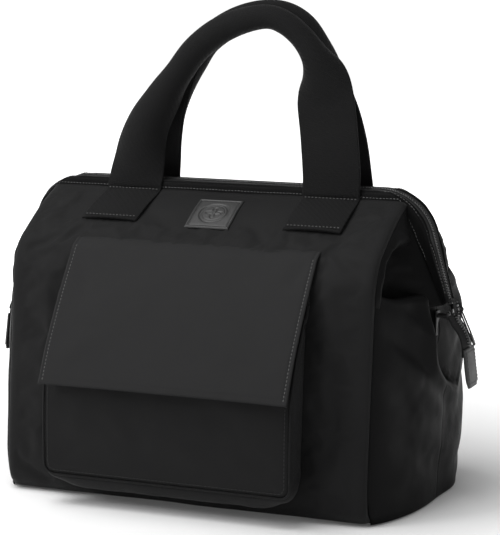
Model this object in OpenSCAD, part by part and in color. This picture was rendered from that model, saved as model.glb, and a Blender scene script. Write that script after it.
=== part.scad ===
// Wide-mouth tote bag with a hinged wire frame, a zip over the top, a flap pocket and two handles.
// Millimetres, +Z up, front towards -Y, origin at the centre of the underside.

/* [Body] */
// Width of the front and rear panels
body_w = 320; // [280:5:360]
// Half the depth of the base between its front and rear edges
half_depth = 97; // [90:1:104]
// Height of the shoulder fold, where a panel turns in to become the roof
shoulder_z = 214; // [208:1:220]
// Height of the mouth edges at rest
mouth_z = 250; // [246:1:254]
// How far the end gussets bulge past the panels at the base
bulge = 24; // [18:1:28]
// Thickness of the padded outer cloth
cloth_t = 2; // [1.6:0.1:2.4]
// Thickness of the lining cloth
lining_t = 0.8; // [0.6:0.1:1]

/* [Frame] */
// Height of the pivots that join the two wires at each end
pivot_z = 155; // [150:1:160]
// Radius of the frame wire
wire_r = 2; // [1.5:0.1:2.2]
// Radius of the pivot pins
pin_r = 2; // [1.5:0.1:2.2]
// Radial running clearance of a wire eye on its pin
pin_fit = 0.05; // [0.02:0.01:0.1]

/* [Pocket] */
// Width of the pocket
pocket_w = 210; // [190:5:230]
// Depth of the pocket at its fullest
pocket_d = 38; // [30:1:42]
// Height of the pocket's top edge under the flap
pocket_top = 168; // [155:1:175]
// Width of the flap
flap_w = 207; // [190:1:225]
// Length of the flap down its slope
flap_len = 131; // [120:1:138]

/* [Handles] */
// Width of the handle webbing
strap_w = 50; // [40:1:52]
// Distance of each webbing leg's middle from the middle of the bag
strap_x = 91; // [84:1:96]
// Radius of the folded grip
grip_r = 10.5; // [9:0.5:12]
// Height of the top of the grip's centre line
grip_z = 391; // [370:1:400]

/* [Hidden] */

hw = body_w / 2;
gap = 0.4;
black = [0.07, 0.07, 0.075];
black_soft = [0.09, 0.09, 0.095];
lining_grey = [0.32, 0.33, 0.35];
leather_grey = [0.2, 0.2, 0.2];
metal_dark = [0.3, 0.3, 0.31];
metal_bright = [0.75, 0.75, 0.76];

// Side profile of one half, as [y, z] from the base edge to the shoulder and on to the mouth.
panel_line = [
    [-half_depth - 2, 2.4], [-half_depth - 8, 12], [-half_depth - 11, 35], [-half_depth - 8, 70],
    [-half_depth - 5, 104], [-half_depth - 1, 140], [-half_depth + 2, 174], [-half_depth + 5, 190],
    [-half_depth + 11, shoulder_z - 9], [-half_depth + 17.4, shoulder_z - 0.8],
];
roof_line = [
    [-half_depth + 19.3, shoulder_z + 0.9], [-half_depth + 33, shoulder_z + 10.5],
    [-half_depth + 56, mouth_z - 12.5], [-21, mouth_z - 3.4],
];
mouth = [-13, mouth_z];

// ---- helpers ------------------------------------------------------------------------------

function unit(v) = v / norm(v);
function turned(v) = [-v[1], v[0]];
function dir_at(p, i) = unit(p[min(i + 1, len(p) - 1)] - p[max(i - 1, 0)]);
// The line p moved sideways by d, to the left of its direction.
function beside(p, d) = [for (i = [0:len(p) - 1]) p[i] + d * turned(dir_at(p, i))];
function back(p) = [for (i = [len(p) - 1:-1:0]) p[i]];
// A closed strip between two offsets of a line.
function strip(p, a, b) = concat(beside(p, a), back(beside(p, b)));
function y_on(p, z, i = 0) =
    i >= len(p) - 2 || z < p[i + 1][1]
    ? p[i][0] + (p[i + 1][0] - p[i][0]) * (z - p[i][1]) / (p[i + 1][1] - p[i][1])
    : y_on(p, z, i + 1);

// A [y, z] outline carried along X from x0 to x1.
module along_x(x0, x1, pts) {
    translate([x0, 0, 0]) rotate([90, 0, 90]) linear_extrude(x1 - x0) polygon(pts);
}

// A [x, z] outline carried along Y from y0 to y1.
module along_y(y0, y1, pts) {
    translate([0, y1, 0]) rotate([90, 0, 0]) linear_extrude(y1 - y0) polygon(pts);
}

module to_rear() { mirror([0, 1, 0]) children(); }
module to_left() { mirror([1, 0, 0]) children(); }

// A closed sheet from a grid of outer points and a matching grid of inner points.
module sheet(outer, inner) {
    rows = len(outer);
    cols = len(outer[0]);
    n = rows * cols;
    pts = [for (g = [outer, inner], r = g, p = r) p];
    function at(i, j, s) = s * n + i * cols + j;
    quads = concat(
        [for (i = [0:rows - 2], j = [0:cols - 2])
            [at(i, j, 0), at(i, j + 1, 0), at(i + 1, j + 1, 0), at(i + 1, j, 0)]],
        [for (i = [0:rows - 2], j = [0:cols - 2])
            [at(i, j, 1), at(i + 1, j, 1), at(i + 1, j + 1, 1), at(i, j + 1, 1)]],
        [for (j = [0:cols - 2]) [at(0, j, 0), at(0, j, 1), at(0, j + 1, 1), at(0, j + 1, 0)]],
        [for (j = [0:cols - 2], i = [rows - 1])
            [at(i, j, 0), at(i, j + 1, 0), at(i, j + 1, 1), at(i, j, 1)]],
        [for (i = [0:rows - 2]) [at(i, 0, 0), at(i + 1, 0, 0), at(i + 1, 0, 1), at(i, 0, 1)]],
        [for (i = [0:rows - 2], j = [cols - 1])
            [at(i, j, 0), at(i, j, 1), at(i + 1, j, 1), at(i + 1, j, 0)]]
    );
    tris = [for (q = quads) each [[q[0], q[1], q[2]], [q[0], q[2], q[3]]]];
    polyhedron(pts, tris);
}

// A closed tube through rings of points, all with the same number of points.
module skin(rings) {
    n = len(rings[0]);
    last = len(rings) - 1;
    pts = [for (r = rings, p = r) p];
    sides = [for (i = [0:last - 1], j = [0:n - 1]) each [
        [i * n + j, (i + 1) * n + (j + 1) % n, i * n + (j + 1) % n],
        [i * n + j, (i + 1) * n + j, (i + 1) * n + (j + 1) % n],
    ]];
    polyhedron(pts, concat(sides, [[for (j = [0:n - 1]) j]], [[for (j = [n - 1:-1:0]) last * n + j]]));
}

// A round bar from a to b.
module bar(a, b, r) {
    v = b - a;
    translate(a) rotate([0, acos(v[2] / norm(v)), atan2(v[1], v[0])])
        cylinder(h = norm(v), r = r, $fn = 24);
}

// ---- base and gussets ---------------------------------------------------------------------

function end_x(t) = bulge * (1 - t * t);
base_outline = concat(
    [for (i = [0:12], t = -1 + i / 6) [hw + end_x(t), (half_depth - 1) * t]],
    [for (i = [0:12], t = 1 - i / 6) [-hw - end_x(t), (half_depth - 1) * t]]
);

module base_sheet(inset, z, t) {
    translate([0, 0, z]) linear_extrude(t) polygon([for (p = base_outline)
        [p[0] - sign(p[0]) * inset, p[1] * (half_depth - 1 - inset) / (half_depth - 1)]]);
}

module base_panel() { color(black) base_sheet(0, 0, cloth_t); }
module base_board() { color([0.25, 0.22, 0.18]) base_sheet(7, cloth_t, 3); }
module base_lining() { color(lining_grey) base_sheet(7, cloth_t + 3, lining_t); }

gusset_top = pivot_z - 7;
function seam_y(z) = -y_on(panel_line, z) - 3.4;
function gusset_pt(t, s, d) =
    let (z = cloth_t + gap + s * (gusset_top + 22 * t * t * t * t - cloth_t - gap))
    [hw + gap + (bulge - 1 + 2.5 * s) * (1 - t * t) - d, seam_y(z) * t, z];
function gusset_grid(d) = [for (i = [0:16]) [for (j = [0:8]) gusset_pt(-1 + i / 8, j / 8, d)]];

module gusset_right() {
    color(black_soft) sheet(gusset_grid(0), gusset_grid(1.6));
}
module gusset_left() { color(black_soft) to_left() gusset_right(); }

// ---- frame pivots and wires -----------------------------------------------------------------

eye_x = hw + bulge + 3;
eye_t = 2;
eye_r = 5;
pin_head = 1.2;

pin_in = eye_x - 4.6;
pin_out = eye_x + 2 * eye_t + 0.8;

// The pin stands on a small plate that is sewn inside the gusset's top edge.
module pivot_pin_right() {
    color(metal_dark) {
        translate([pin_in, 0, pivot_z]) rotate([0, 90, 0]) cylinder(h = pin_out - pin_in + pin_head, r = pin_r, $fn = 32);
        translate([pin_out, 0, pivot_z]) rotate([0, 90, 0]) cylinder(h = pin_head, r = 2 * pin_r, $fn = 32);
        translate([pin_in, -5, pivot_z - 16]) cube([1, 10, 20]);
    }
}
module pivot_pin_left() { to_left() pivot_pin_right(); }

wire_corner = [hw - 6, mouth[0], mouth_z - 1];
leg_foot = [0, -3.7, pivot_z + 8];

// One end of the wire: a flat tongue and an eye round the pin. x0 is the eye's inner face.
module wire_eye(x0) {
    translate([x0, -5.2, pivot_z + 2.6]) cube([eye_t, 3.6, 7.5]);
    translate([x0, 0, pivot_z]) rotate([0, 90, 0]) difference() {
        cylinder(h = eye_t, r = eye_r, $fn = 32);
        translate([0, 0, -1]) cylinder(h = eye_t + 2, r = pin_r + pin_fit, $fn = 32);
    }
}

// The bent wire from the middle of the mouth to one foot, rounded where it turns down.
function wire_route(x0) =
    let (foot = [x0 + eye_t / 2, leg_foot[1], leg_foot[2]], top = [hw - 16, mouth[0], mouth_z],
         down = wire_corner + 0.12 * (foot - wire_corner))
    concat([for (k = [0:5]) let (q = k / 5)
        (1 - q) * (1 - q) * top + 2 * q * (1 - q) * wire_corner + q * q * down], [foot]);
function wire_path(x0) = let (r = wire_route(x0)) concat([for (p = back(r)) [-p[0], p[1], p[2]]], r);
function wire_ring(path, i) =
    let (t = dir_at(path, i), u = unit(cross(t, [0, 1, 0])), v = cross(t, u))
    [for (k = [0:13], a = k * 360 / 14) path[i] + wire_r * (cos(a) * u + sin(a) * v)];
module half_wire(x0) {
    path = wire_path(x0);
    skin([for (i = [0:len(path) - 1]) wire_ring(path, i)]);
    for (s = [0, 1]) mirror([s, 0, 0]) wire_eye(x0);
}

module front_wire() { color(metal_bright) half_wire(eye_x); }
module rear_wire() { color(metal_bright) to_rear() half_wire(eye_x + eye_t + 0.3); }

// ---- zip ------------------------------------------------------------------------------------

run_tilt = 12;
run_foot = [197, 161];
run_dir = [-sin(run_tilt), cos(run_tilt)];
run_len = 71;
zip_top = mouth_z + 6;
run_end = run_foot + run_len * run_dir;
arc_r = (zip_top - run_end[1]) / (1 - sin(run_tilt));
arc_mid = run_end - arc_r * [cos(run_tilt), sin(run_tilt)];
teeth_start = 8;

// The zip's right half in [x, z], from its foot up the run, round the corner and in to the middle.
function zip_right(s0) = concat(
    [run_foot + s0 * run_dir, run_foot + (s0 + run_len) / 2 * run_dir],
    [for (i = [0:8], a = run_tilt + i * (90 - run_tilt) / 8) arc_mid + arc_r * [cos(a), sin(a)]]
);
function zip_line(s0) = let (r = zip_right(s0)) concat(r, [for (p = back(r)) [-p[0], p[1]]]);

tape_w = 13;
// The tape narrows towards its feet, where the sleeve closes in over the wire legs.
tape_edge = [[-4.7, 155], [-6.3, 187], [-8, 227], [-8.9, 243], [-tape_w, 250]];
module half_tape() {
    difference() {
        along_y(-tape_w + 1.4, -1.9, strip(zip_line(teeth_start), 0.4, -0.4));
        along_x(-run_foot[0] - 9, run_foot[0] + 9, concat([[-tape_w - 1, 250], [-tape_w - 1, 155]], tape_edge));
    }
}
module half_teeth() { along_y(-1.9, -0.45, strip(zip_line(teeth_start), 1.3, -1.3)); }

module front_zip_tape() { color(black) half_tape(); }
module rear_zip_tape() { color(black) to_rear() half_tape(); }
module front_zip_teeth() { color(metal_bright) half_teeth(); }
module rear_zip_teeth() { color(metal_bright) to_rear() half_teeth(); }

// Sleeve cloth: one sheet round the whole mouth, from the tape's edge to the wire and over it.
sleeve_t = 1.2;
sleeve_steps = 12;
function leg_at(s) = wire_corner + s * ([eye_x + eye_t / 2, leg_foot[1], leg_foot[2]] - wire_corner);
function zip_at(s) =
    let (q = zip_right(teeth_start), n = len(q) - 1, k = (1 - s) * n, i = min(floor(k), n - 1))
    q[i] + (k - i) * (q[i + 1] - q[i]);
// Cross-section at s, 0 at the mouth corner and 1 at the pivot; d moves the cloth inwards.
function sleeve_row(s, d) =
    let (z = zip_at(s), w = leg_at(s), a = run_tilt + max(0, 8 - 10 * s) * (90 - run_tilt) / 8,
         o = [cos(a), 0, sin(a)], e = -tape_w + 1 + 6.5 * max(0, s - 0.5) * 2,
         over = w + (wire_r + 1.6 - d) * (0.55 * o + [0, -0.83, 0]),
         edge = [z[0], e, z[1]] + (2.5 - d) * o)
    [edge, (edge + over) / 2 + [0, -1.2, 0] + 0.8 * o, over,
     w + (wire_r + 1.6 - d) * (-0.35 * o + [0, -0.93, 0])];
function sleeve_grid(d) = concat(
    [for (i = [sleeve_steps:-1:0]) [for (p = sleeve_row(i / sleeve_steps, d)) [-p[0], p[1], p[2]]]],
    [for (i = [0:sleeve_steps]) sleeve_row(i / sleeve_steps, d)]
);
// Fan of gusset cloth that hangs from a wire leg and tucks in behind the wall.
fan_steps = 6;
function fan_pt(s, v, d) =
    let (w = leg_at(s), to = [hw - 3.3, -66 - 12 * s, shoulder_z - 2 - 47 * s], a = w + 5.2 * unit(to - w))
    a + v * (to - a) + [-d - 5 * sin(180 * v) * s, 0, 0];
function fan_grid(d) = [for (i = [0:fan_steps]) [for (j = [0:5]) fan_pt(0.05 + 0.93 * i / fan_steps, j / 5, d)]];
module fan_right() { color(black_soft) sheet(fan_grid(0), fan_grid(1)); }
module front_fan_right() { fan_right(); }
module front_fan_left() { to_left() fan_right(); }
module rear_fan_right() { to_rear() fan_right(); }
module rear_fan_left() { to_rear() to_left() fan_right(); }

module half_sleeve() { sheet(sleeve_grid(0), sleeve_grid(sleeve_t)); }
module front_sleeve() { color(black_soft) half_sleeve(); }
module rear_sleeve() { color(black_soft) to_rear() half_sleeve(); }

// ---- panels -----------------------------------------------------------------------------------

module half_panel() { along_x(-hw, hw, strip(panel_line, 0, -cloth_t)); }
module half_lining() {
    along_x(-hw + 8, hw - 8, strip(panel_line, -cloth_t, -cloth_t - lining_t));
}
module half_roof() {
    along_x(-hw, hw, strip(roof_line, 0, -cloth_t));
}
// The gusset's upper corner, which stays with the panel and folds in at the seam.
module half_tuck() {
    tuck_z = 172;
    line = concat([[y_on(panel_line, tuck_z) + 2.9, tuck_z]],
        [for (p = panel_line) if (p[1] > tuck_z + 1 && p[1] < shoulder_z - 5) p + [2.9, 0]]);
    inner = [[-48, shoulder_z - 12], [-44, tuck_z + 8]];
    along_x(hw - 6.6, hw - 5, concat(line, inner));
    along_x(hw - 6.6, hw, strip(line, 0, -1.2));
}

module front_panel() { color(black) half_panel(); }
module rear_panel() { color(black) to_rear() half_panel(); }
module front_lining() { color(lining_grey) half_lining(); }
module rear_lining() { color(lining_grey) to_rear() half_lining(); }
module front_roof() { color(black) half_roof(); }
module rear_roof() { color(black) to_rear() half_roof(); }

// Open-topped slip pocket sewn to the rear lining.
module inner_pocket() {
    y0 = half_depth - 7;
    color(lining_grey) along_x(-80, 80, [
        [y0 + 3.2, 40], [y0 - 8, 46], [y0 - 11, 90], [y0 - 12, 130], [y0 - 11, 130],
        [y0 - 10, 90], [y0 - 7, 47], [y0 + 4.2, 41.2],
    ]);
}

// ---- pocket and flap ----------------------------------------------------------------------------

pocket_y = -half_depth - 4 - pocket_d;
pocket_line = [
    [pocket_y + 28, 8], [pocket_y + 12, 11], [pocket_y + 3, 20], [pocket_y, 40], [pocket_y + 1, 100],
    [pocket_y + 9, 135], [pocket_y + 23.5, pocket_top - 12], [pocket_y + 31.5, pocket_top],
];
pocket_round = 16;
phw = pocket_w / 2;

// The pocket's face outline in [x, z], with rounded lower corners.
module pocket_outline(inset, top) {
    r = pocket_round - inset;
    translate([0, 20 + inset]) union() {
        translate([-phw + inset, r]) square([pocket_w - 2 * inset, top]);
        translate([-phw + inset + r, 0]) square([pocket_w - 2 * (inset + r), top]);
        for (s = [-1, 1]) translate([s * (phw - inset - r), r]) circle(r = r, $fn = 48);
    }
}

module pocket_front() {
    color(black) intersection() {
        along_x(-phw, phw, strip(pocket_line, 0, -cloth_t));
        translate([0, -60, 0]) rotate([90, 0, 0]) linear_extrude(120) pocket_outline(0, 200);
    }
}

// Space between the panel and the pocket's face.
function pocket_section(z0, z1) = concat(
    [for (p = pocket_line) if (p[1] > z0 && p[1] < z1) p + [cloth_t + 0.7, 0]],
    [[y_on(panel_line, z1) - 0.2, z1 + 3]],
    back([for (p = panel_line) if (p[1] > z0 && p[1] < z1) p - [0.2, 0]])
);

module pocket_side_right() {
    color(black) intersection() {
        along_x(phw - cloth_t, phw, concat([[pocket_y + 4, 36]], pocket_section(36, pocket_top + 14),
            [[-half_depth - 11.2, 36]]));
        cube([body_w, 400, 500], center = true);
    }
}
module pocket_side_left() { to_left() pocket_side_right(); }

module pocket_floor() {
    color(black) translate([0, -half_depth - 11.3, 0]) rotate([90, 0, 0]) linear_extrude(pocket_d - 12.8)
        difference() {
            pocket_outline(0, 15.8);
            pocket_outline(cloth_t, 40);
            translate([-phw - 1, 35.8]) square([pocket_w + 2, 30]);
        }
}

module pocket_magnet() {
    z = 118;
    color(metal_dark) translate([0, y_on(pocket_line, z), z]) rotate([77, 0, 0])
        translate([0, 0, 0.2]) cylinder(h = 1.6, r = 8, $fn = 40);
}

flap_root = [-half_depth + 17.2, shoulder_z + 0.6];
flap_dir = unit([-71, -110]);
flap_out = [flap_dir[1], -flap_dir[0]];
function flap_pt(along, out) = flap_root + along * flap_dir + out * flap_out;

module flap_sheet(w, a0, a1, o0, o1) {
    along_x(-w / 2, w / 2, [flap_pt(a0, o0), flap_pt(a1, o0), flap_pt(a1, o1), flap_pt(a0, o1)]);
}
module flap_outer() { color(black_soft) flap_sheet(flap_w, 3, flap_len, 2.4, 4); }
module flap_lining() { color(lining_grey) flap_sheet(flap_w - 4, 4, flap_len - 2, 1.4, 2.4); }
module flap_magnet() {
    p = flap_pt(flap_len - 22, 1.4);
    color(metal_dark) translate([0, p[0], p[1]]) rotate([atan2(-flap_out[0], flap_out[1]), 0, 0])
        translate([0, 0, -1.3]) cylinder(h = 1.2, r = 8, $fn = 40);
}

// ---- roof trim and handles ------------------------------------------------------------------------

roof_dir = unit([-half_depth + 56, mouth_z - 12.5] - [-21, mouth_z - 3.4]);
tab_len = 36;
function on_roof(along, out) = [-21, mouth_z - 3.4] + along * roof_dir + out * [roof_dir[1], -roof_dir[0]];

// A flat piece on the roof's upper slope, between a0 and a1 down the slope.
module on_slope(x0, x1, a0, a1, o0, o1) {
    along_x(x0, x1, [on_roof(a0, o0), on_roof(a1, o0), on_roof(a1, o1), on_roof(a0, o1)]);
}
module tab_right() {
    on_slope(strap_x - strap_w / 2, strap_x + strap_w / 2, 1, tab_len, 0.4, 2.4);
}
module front_tab_right() { color(black) tab_right(); }
module front_tab_left() { color(black) to_left() tab_right(); }
module rear_tab_right() { color(black) to_rear() tab_right(); }
module rear_tab_left() { color(black) to_rear() to_left() tab_right(); }

patch_w = 40;
module patch() { color(leather_grey) on_slope(-patch_w / 2, patch_w / 2, 1, patch_w - 1, 0.4, 2.1); }
module patch_mark() {
    p = on_roof(patch_w / 2, 2.1);
    color(metal_dark) translate([0, p[0], p[1]]) rotate([atan2(roof_dir[1], roof_dir[0]) - 180, 0, 0])
        rotate_extrude($fn = 48) translate([11, 0]) square([1.4, 0.4]);
}

// Handle route in [x, y, z] and its section: flat webbing at the feet, a folded round grip at the top.
handle_foot_z = mouth_z + 2;
function handle_route(u) =
    let (a = 180 * u, side = cos(a), lift = pow(sin(a), 0.62))
    [-strap_x * (0.14 * (1 - lift) + 0.86) * sign(side) * pow(abs(side), 0.62 + 0.2 * lift), -20.6 + 8 * lift,
     handle_foot_z + (grip_z - handle_foot_z) * lift];
handle_steps = 36;
function handle_half_w(l) = l < 0.45 ? strap_w / 2 - 6 * l
    : max(grip_r, strap_w / 2 - 2.7 - (l - 0.45) * 34);
function handle_half_t(l) = l < 0.45 ? 0.9 + l : min(grip_r, 1.35 + (l - 0.45) * 24);
function handle_ring(i) =
    let (u = i / handle_steps, c = handle_route(u), n = unit(handle_route(min(1, u + 0.01)) - handle_route(max(0, u - 0.01))),
        l = (c[2] - handle_foot_z) / (grip_z - handle_foot_z), w = handle_half_w(l), t = handle_half_t(l))
    [for (k = [0:13], b = 360 * k / 14) c + w * cos(b) * [n[2], 0, -n[0]] + [0, t * sin(b), 0]];
module half_handle() { skin([for (i = [0:handle_steps]) handle_ring(i)]); }
module front_handle() { color(black) half_handle(); }
module rear_handle() { color(black) to_rear() half_handle(); }

// ---- zip sliders, pullers and tails ------------------------------------------------------------------

slider_len = 12;
// Parts drawn in [out, y, along] of the run, out being away from the bag.
module on_run() {
    translate([run_foot[0], 0, run_foot[1]]) rotate([0, -run_tilt, 0]) children();
}
module slider_right() {
    color(metal_dark) on_run() {
        for (o = [1.6, -2.8]) translate([o, -4.5, -slider_len / 2]) cube([1.2, 9, slider_len]);
        translate([-2, -0.35, -slider_len / 2]) cube([4, 0.7, slider_len]);
        for (y = [-4.5, 3.7]) {
            translate([0.8, y, -slider_len / 2]) cube([1, 0.8, slider_len]);
            translate([-1.8, y, -slider_len / 2]) cube([1, 0.8, slider_len]);
        }
        translate([4.6, 0, 0]) rotate([90, 0, 0]) translate([0, 0, -2.8]) cylinder(h = 5.6, r = 0.9, $fn = 20);
        for (z = [-3.6, 2.4]) translate([2.6, -2.8, z]) cube([1.6, 5.6, 1.2]);
        for (y = [-2.8, 2]) translate([3.2, y, -3.6]) cube([1.9, 0.8, 7.2]);
    }
}
module slider_left() { to_left() slider_right(); }

pull_len = 30;
pull_lean = 24;
module puller_right() {
    pin = [run_foot[0] + 4.6 * cos(run_tilt), run_foot[1] + 4.6 * sin(run_tilt)];
    color(metal_bright) translate([pin[0], 0, pin[1]]) rotate([90, 0, 0]) rotate([0, 0, -90 + pull_lean]) {
        translate([0, 0, -1.7]) difference() {
            cylinder(h = 3.4, r = 1.65, $fn = 24);
            translate([0, 0, -1]) cylinder(h = 6, r = 0.97, $fn = 24);
        }
        translate([1.6, -0.8, -1.7]) cube([5, 1.6, 3.4]);
        difference() {
            translate([4.8, -0.8, -2.6]) cube([pull_len - 3.2, 1.6, 5.2]);
            translate([8, -2, -1.4]) cube([pull_len - 13, 4, 2.8]);
        }
    }
}
module puller_left() { to_left() puller_right(); }

tail_line = [[198.2, 152.6], [202.6, 148.4], [206.4, 143], [208.6, 136], [209.4, 128]];
tab_line = [[209, 134], [210.6, 118], [212.4, 103]];
module tail_tape_right() {
    color(black) along_y(-12, 12, strip(tail_line, 0.4, -0.4));
    color(metal_bright) along_y(-1.9, 1.9, strip(tail_line, 0.9, -0.9));
}
module tail_tab_right() {
    color(black) along_y(-13, 13, strip([for (p = tab_line) p + [0.5, -6]], 1.5, -1.5));
}
module tail_tape_left() { to_left() tail_tape_right(); }
module tail_tab_left() { to_left() tail_tab_right(); }

module front_tuck_right() { color(black_soft) half_tuck(); }
module front_tuck_left() { color(black_soft) to_left() half_tuck(); }
module rear_tuck_right() { color(black_soft) to_rear() half_tuck(); }
module rear_tuck_left() { color(black_soft) to_rear() to_left() half_tuck(); }

base_panel();
base_board();
base_lining();
gusset_left();
gusset_right();
pivot_pin_left();
pivot_pin_right();
front_panel();
front_lining();
pocket_front();
pocket_side_left();
pocket_side_right();
pocket_floor();
pocket_magnet();
front_tuck_left();
front_tuck_right();
flap_outer();
flap_lining();
flap_magnet();
front_roof();
front_tab_left();
front_tab_right();
patch();
patch_mark();
front_handle();
front_wire();
front_sleeve();
front_fan_left();
front_fan_right();
front_zip_tape();
front_zip_teeth();
rear_panel();
rear_lining();
inner_pocket();
rear_tuck_left();
rear_tuck_right();
rear_roof();
rear_tab_left();
rear_tab_right();
rear_handle();
rear_wire();
rear_sleeve();
rear_fan_left();
rear_fan_right();
rear_zip_tape();
rear_zip_teeth();
slider_left();
slider_right();
puller_left();
puller_right();
tail_tape_left();
tail_tape_right();
tail_tab_left();
tail_tab_right();
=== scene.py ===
"""Wide-mouth tote bag in black nylon: cloth, webbing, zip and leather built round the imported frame."""
import math

import bpy
import numpy as np
from mathutils import Matrix, Vector, noise


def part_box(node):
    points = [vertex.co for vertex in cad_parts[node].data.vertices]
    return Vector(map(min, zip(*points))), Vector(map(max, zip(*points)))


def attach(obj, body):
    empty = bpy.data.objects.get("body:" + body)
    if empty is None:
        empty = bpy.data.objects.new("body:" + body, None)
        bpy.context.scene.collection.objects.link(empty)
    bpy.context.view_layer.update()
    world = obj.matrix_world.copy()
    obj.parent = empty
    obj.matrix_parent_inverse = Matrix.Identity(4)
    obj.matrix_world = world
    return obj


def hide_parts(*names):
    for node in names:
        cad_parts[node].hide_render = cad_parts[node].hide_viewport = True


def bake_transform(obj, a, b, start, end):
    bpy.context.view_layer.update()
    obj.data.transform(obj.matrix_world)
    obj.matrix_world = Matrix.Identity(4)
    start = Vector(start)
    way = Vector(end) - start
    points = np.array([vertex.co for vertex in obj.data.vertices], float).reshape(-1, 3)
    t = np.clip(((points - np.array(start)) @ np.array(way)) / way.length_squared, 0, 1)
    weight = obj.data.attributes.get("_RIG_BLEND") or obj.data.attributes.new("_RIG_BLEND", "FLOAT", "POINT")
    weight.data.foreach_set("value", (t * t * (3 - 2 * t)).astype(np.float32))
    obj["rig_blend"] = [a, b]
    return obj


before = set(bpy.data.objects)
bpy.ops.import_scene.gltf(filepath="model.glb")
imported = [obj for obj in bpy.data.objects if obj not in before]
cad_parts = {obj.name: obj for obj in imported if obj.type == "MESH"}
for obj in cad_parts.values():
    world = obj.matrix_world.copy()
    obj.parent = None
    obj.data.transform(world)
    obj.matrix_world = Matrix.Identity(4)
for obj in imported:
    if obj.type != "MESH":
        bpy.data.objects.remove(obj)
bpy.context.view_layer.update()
MM = 0.001


# ---- driving sizes, in millimetres, read from the frame ------------------------------------------

def node_box(node):
    lo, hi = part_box(node)
    return np.array(lo) / MM, np.array(hi) / MM


panel_lo, panel_hi = node_box("front_panel")
base_lo, base_hi = node_box("base_panel")
HW = panel_hi[0]
HALF = base_hi[1] + 1
BULGE = base_hi[0] - HW
SHOULDER_Z = round(panel_hi[2]) + 0.0
MOUTH_Z = node_box("front_zip_tape")[1][2] - 6.4
MOUTH_Y = -13.0
PIVOT_Z = (node_box("pivot_pin_right")[1][2] + 4 + node_box("pivot_pin_right")[0][2] + 16) / 2 - 2
pocket_lo, pocket_hi = node_box("pocket_front")
POCKET_Y = pocket_lo[1]
POCKET_HW = pocket_hi[0]
FLAP_HW = node_box("flap_outer")[1][0] + 4.5
FLAP_LEN = 128.0
STRAP_W = 50.0
ZIP_TOP = MOUTH_Z + 6
# The zip's straight run down each side: tilt from upright, [x, z] of its foot, length.
RUN_TILT = math.radians(16)
RUN_FOOT = np.array([195.0, 161.0])
RUN_LEN = 64.0
SLIDER_TILT = math.radians(12)
SLIDER_FOOT = np.array([197.0, 161.0])
RUN_DIR = np.array([-math.sin(RUN_TILT), math.cos(RUN_TILT)])
TEETH_START = 8.0

# The front half's outline in [y, z]: up the wall to the shoulder, then over the roof to the mouth.
PANEL_LINE = [(-HALF - 2, 2.4), (-HALF - 8, 12), (-HALF - 11, 35), (-HALF - 8, 70), (-HALF - 5, 104),
              (-HALF - 1, 140), (-HALF + 2, 174), (-HALF + 5, 190), (-HALF + 11, SHOULDER_Z - 9),
              (-HALF + 18, SHOULDER_Z)]
ROOF_LINE = [(-HALF + 33, SHOULDER_Z + 10.5), (-HALF + 56, MOUTH_Z - 12.5), (-21, MOUTH_Z - 3.4),
             (MOUTH_Y - 3.4, MOUTH_Z - 0.6)]
SHOULDER = np.array([0, -HALF + 18, SHOULDER_Z])


# ---- small maths ---------------------------------------------------------------------------------

def arr(*rows):
    return np.array(rows, float)


def unit(v):
    v = np.asarray(v, float)
    return v / (np.linalg.norm(v, axis=-1, keepdims=True) + 1e-12)


def smooth(x, lo=0.0, hi=1.0):
    t = np.clip((np.asarray(x, float) - lo) / (hi - lo), 0, 1)
    return t * t * (3 - 2 * t)


def lengths(p):
    """Distance along a polyline at each of its points."""
    return np.concatenate([[0], np.cumsum(np.linalg.norm(np.diff(p, axis=0), axis=1))])


def upright(line):
    """The 3-D points on the plane Y = 0 of a line in [x, z]."""
    return np.stack([line[:, 0], np.zeros(len(line)), line[:, 1]], axis=1)


def resample(points, n):
    """n points evenly spaced along a polyline."""
    p = np.asarray(points, float)
    d = lengths(p)
    at = np.linspace(0, d[-1], n)
    return np.stack([np.interp(at, d, p[:, k]) for k in range(p.shape[1])], axis=1)


def curve(points, n, fine=24):
    """n points evenly spaced along a smooth curve through points."""
    p = np.asarray(points, float)
    q = np.vstack([2 * p[0] - p[1], p, 2 * p[-1] - p[-2]])
    out = []
    for i in range(1, len(q) - 2):
        t = np.linspace(0, 1, fine, endpoint=False)[:, None]
        a, b, c, d = q[i - 1], q[i], q[i + 1], q[i + 2]
        square = 2 * a - 5 * b + 4 * c - d
        cube = 3 * b - a - 3 * c + d
        out.append(0.5 * (2 * b + (c - a) * t + square * t ** 2 + cube * t ** 3))
    out.append(p[-1:])
    return resample(np.vstack(out), n)


def tangents(p):
    return unit(np.gradient(np.asarray(p, float), axis=0))


def fbm(x, y, z=0.0, scale=40.0, octaves=3):
    """Smooth seeded noise over arrays of millimetre positions, about -1 to 1."""
    x, y, z = np.broadcast_arrays(np.asarray(x, float), np.asarray(y, float), np.asarray(z, float))
    flat = [noise.fractal(Vector((a / scale, b / scale, c / scale)), 0.9, 2.1, octaves)
            for a, b, c in zip(x.ravel(), y.ravel(), z.ravel())]
    return np.array(flat).reshape(x.shape)


def creases(x, y, rows):
    """Soft folds: each row is (x0, y0, x1, y1, width, height), fading at both ends."""
    total = np.zeros(np.broadcast(x, y).shape)
    for x0, y0, x1, y1, width, height in rows:
        dx, dy = x1 - x0, y1 - y0
        length2 = dx * dx + dy * dy
        t = ((x - x0) * dx + (y - y0) * dy) / length2
        tc = np.clip(t, 0, 1)
        dist = np.hypot(x - x0 - tc * dx, y - y0 - tc * dy)
        fade = np.sin(np.pi * (0.08 + 0.84 * tc)) ** 0.8
        total += height * np.exp(-(dist / width) ** 2) * fade
    return total


def side_of(t):
    """Normals in the plane Y = 0 of a path with these tangents."""
    return unit(np.stack([-t[:, 2], np.zeros(len(t)), t[:, 0]], axis=1))


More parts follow.
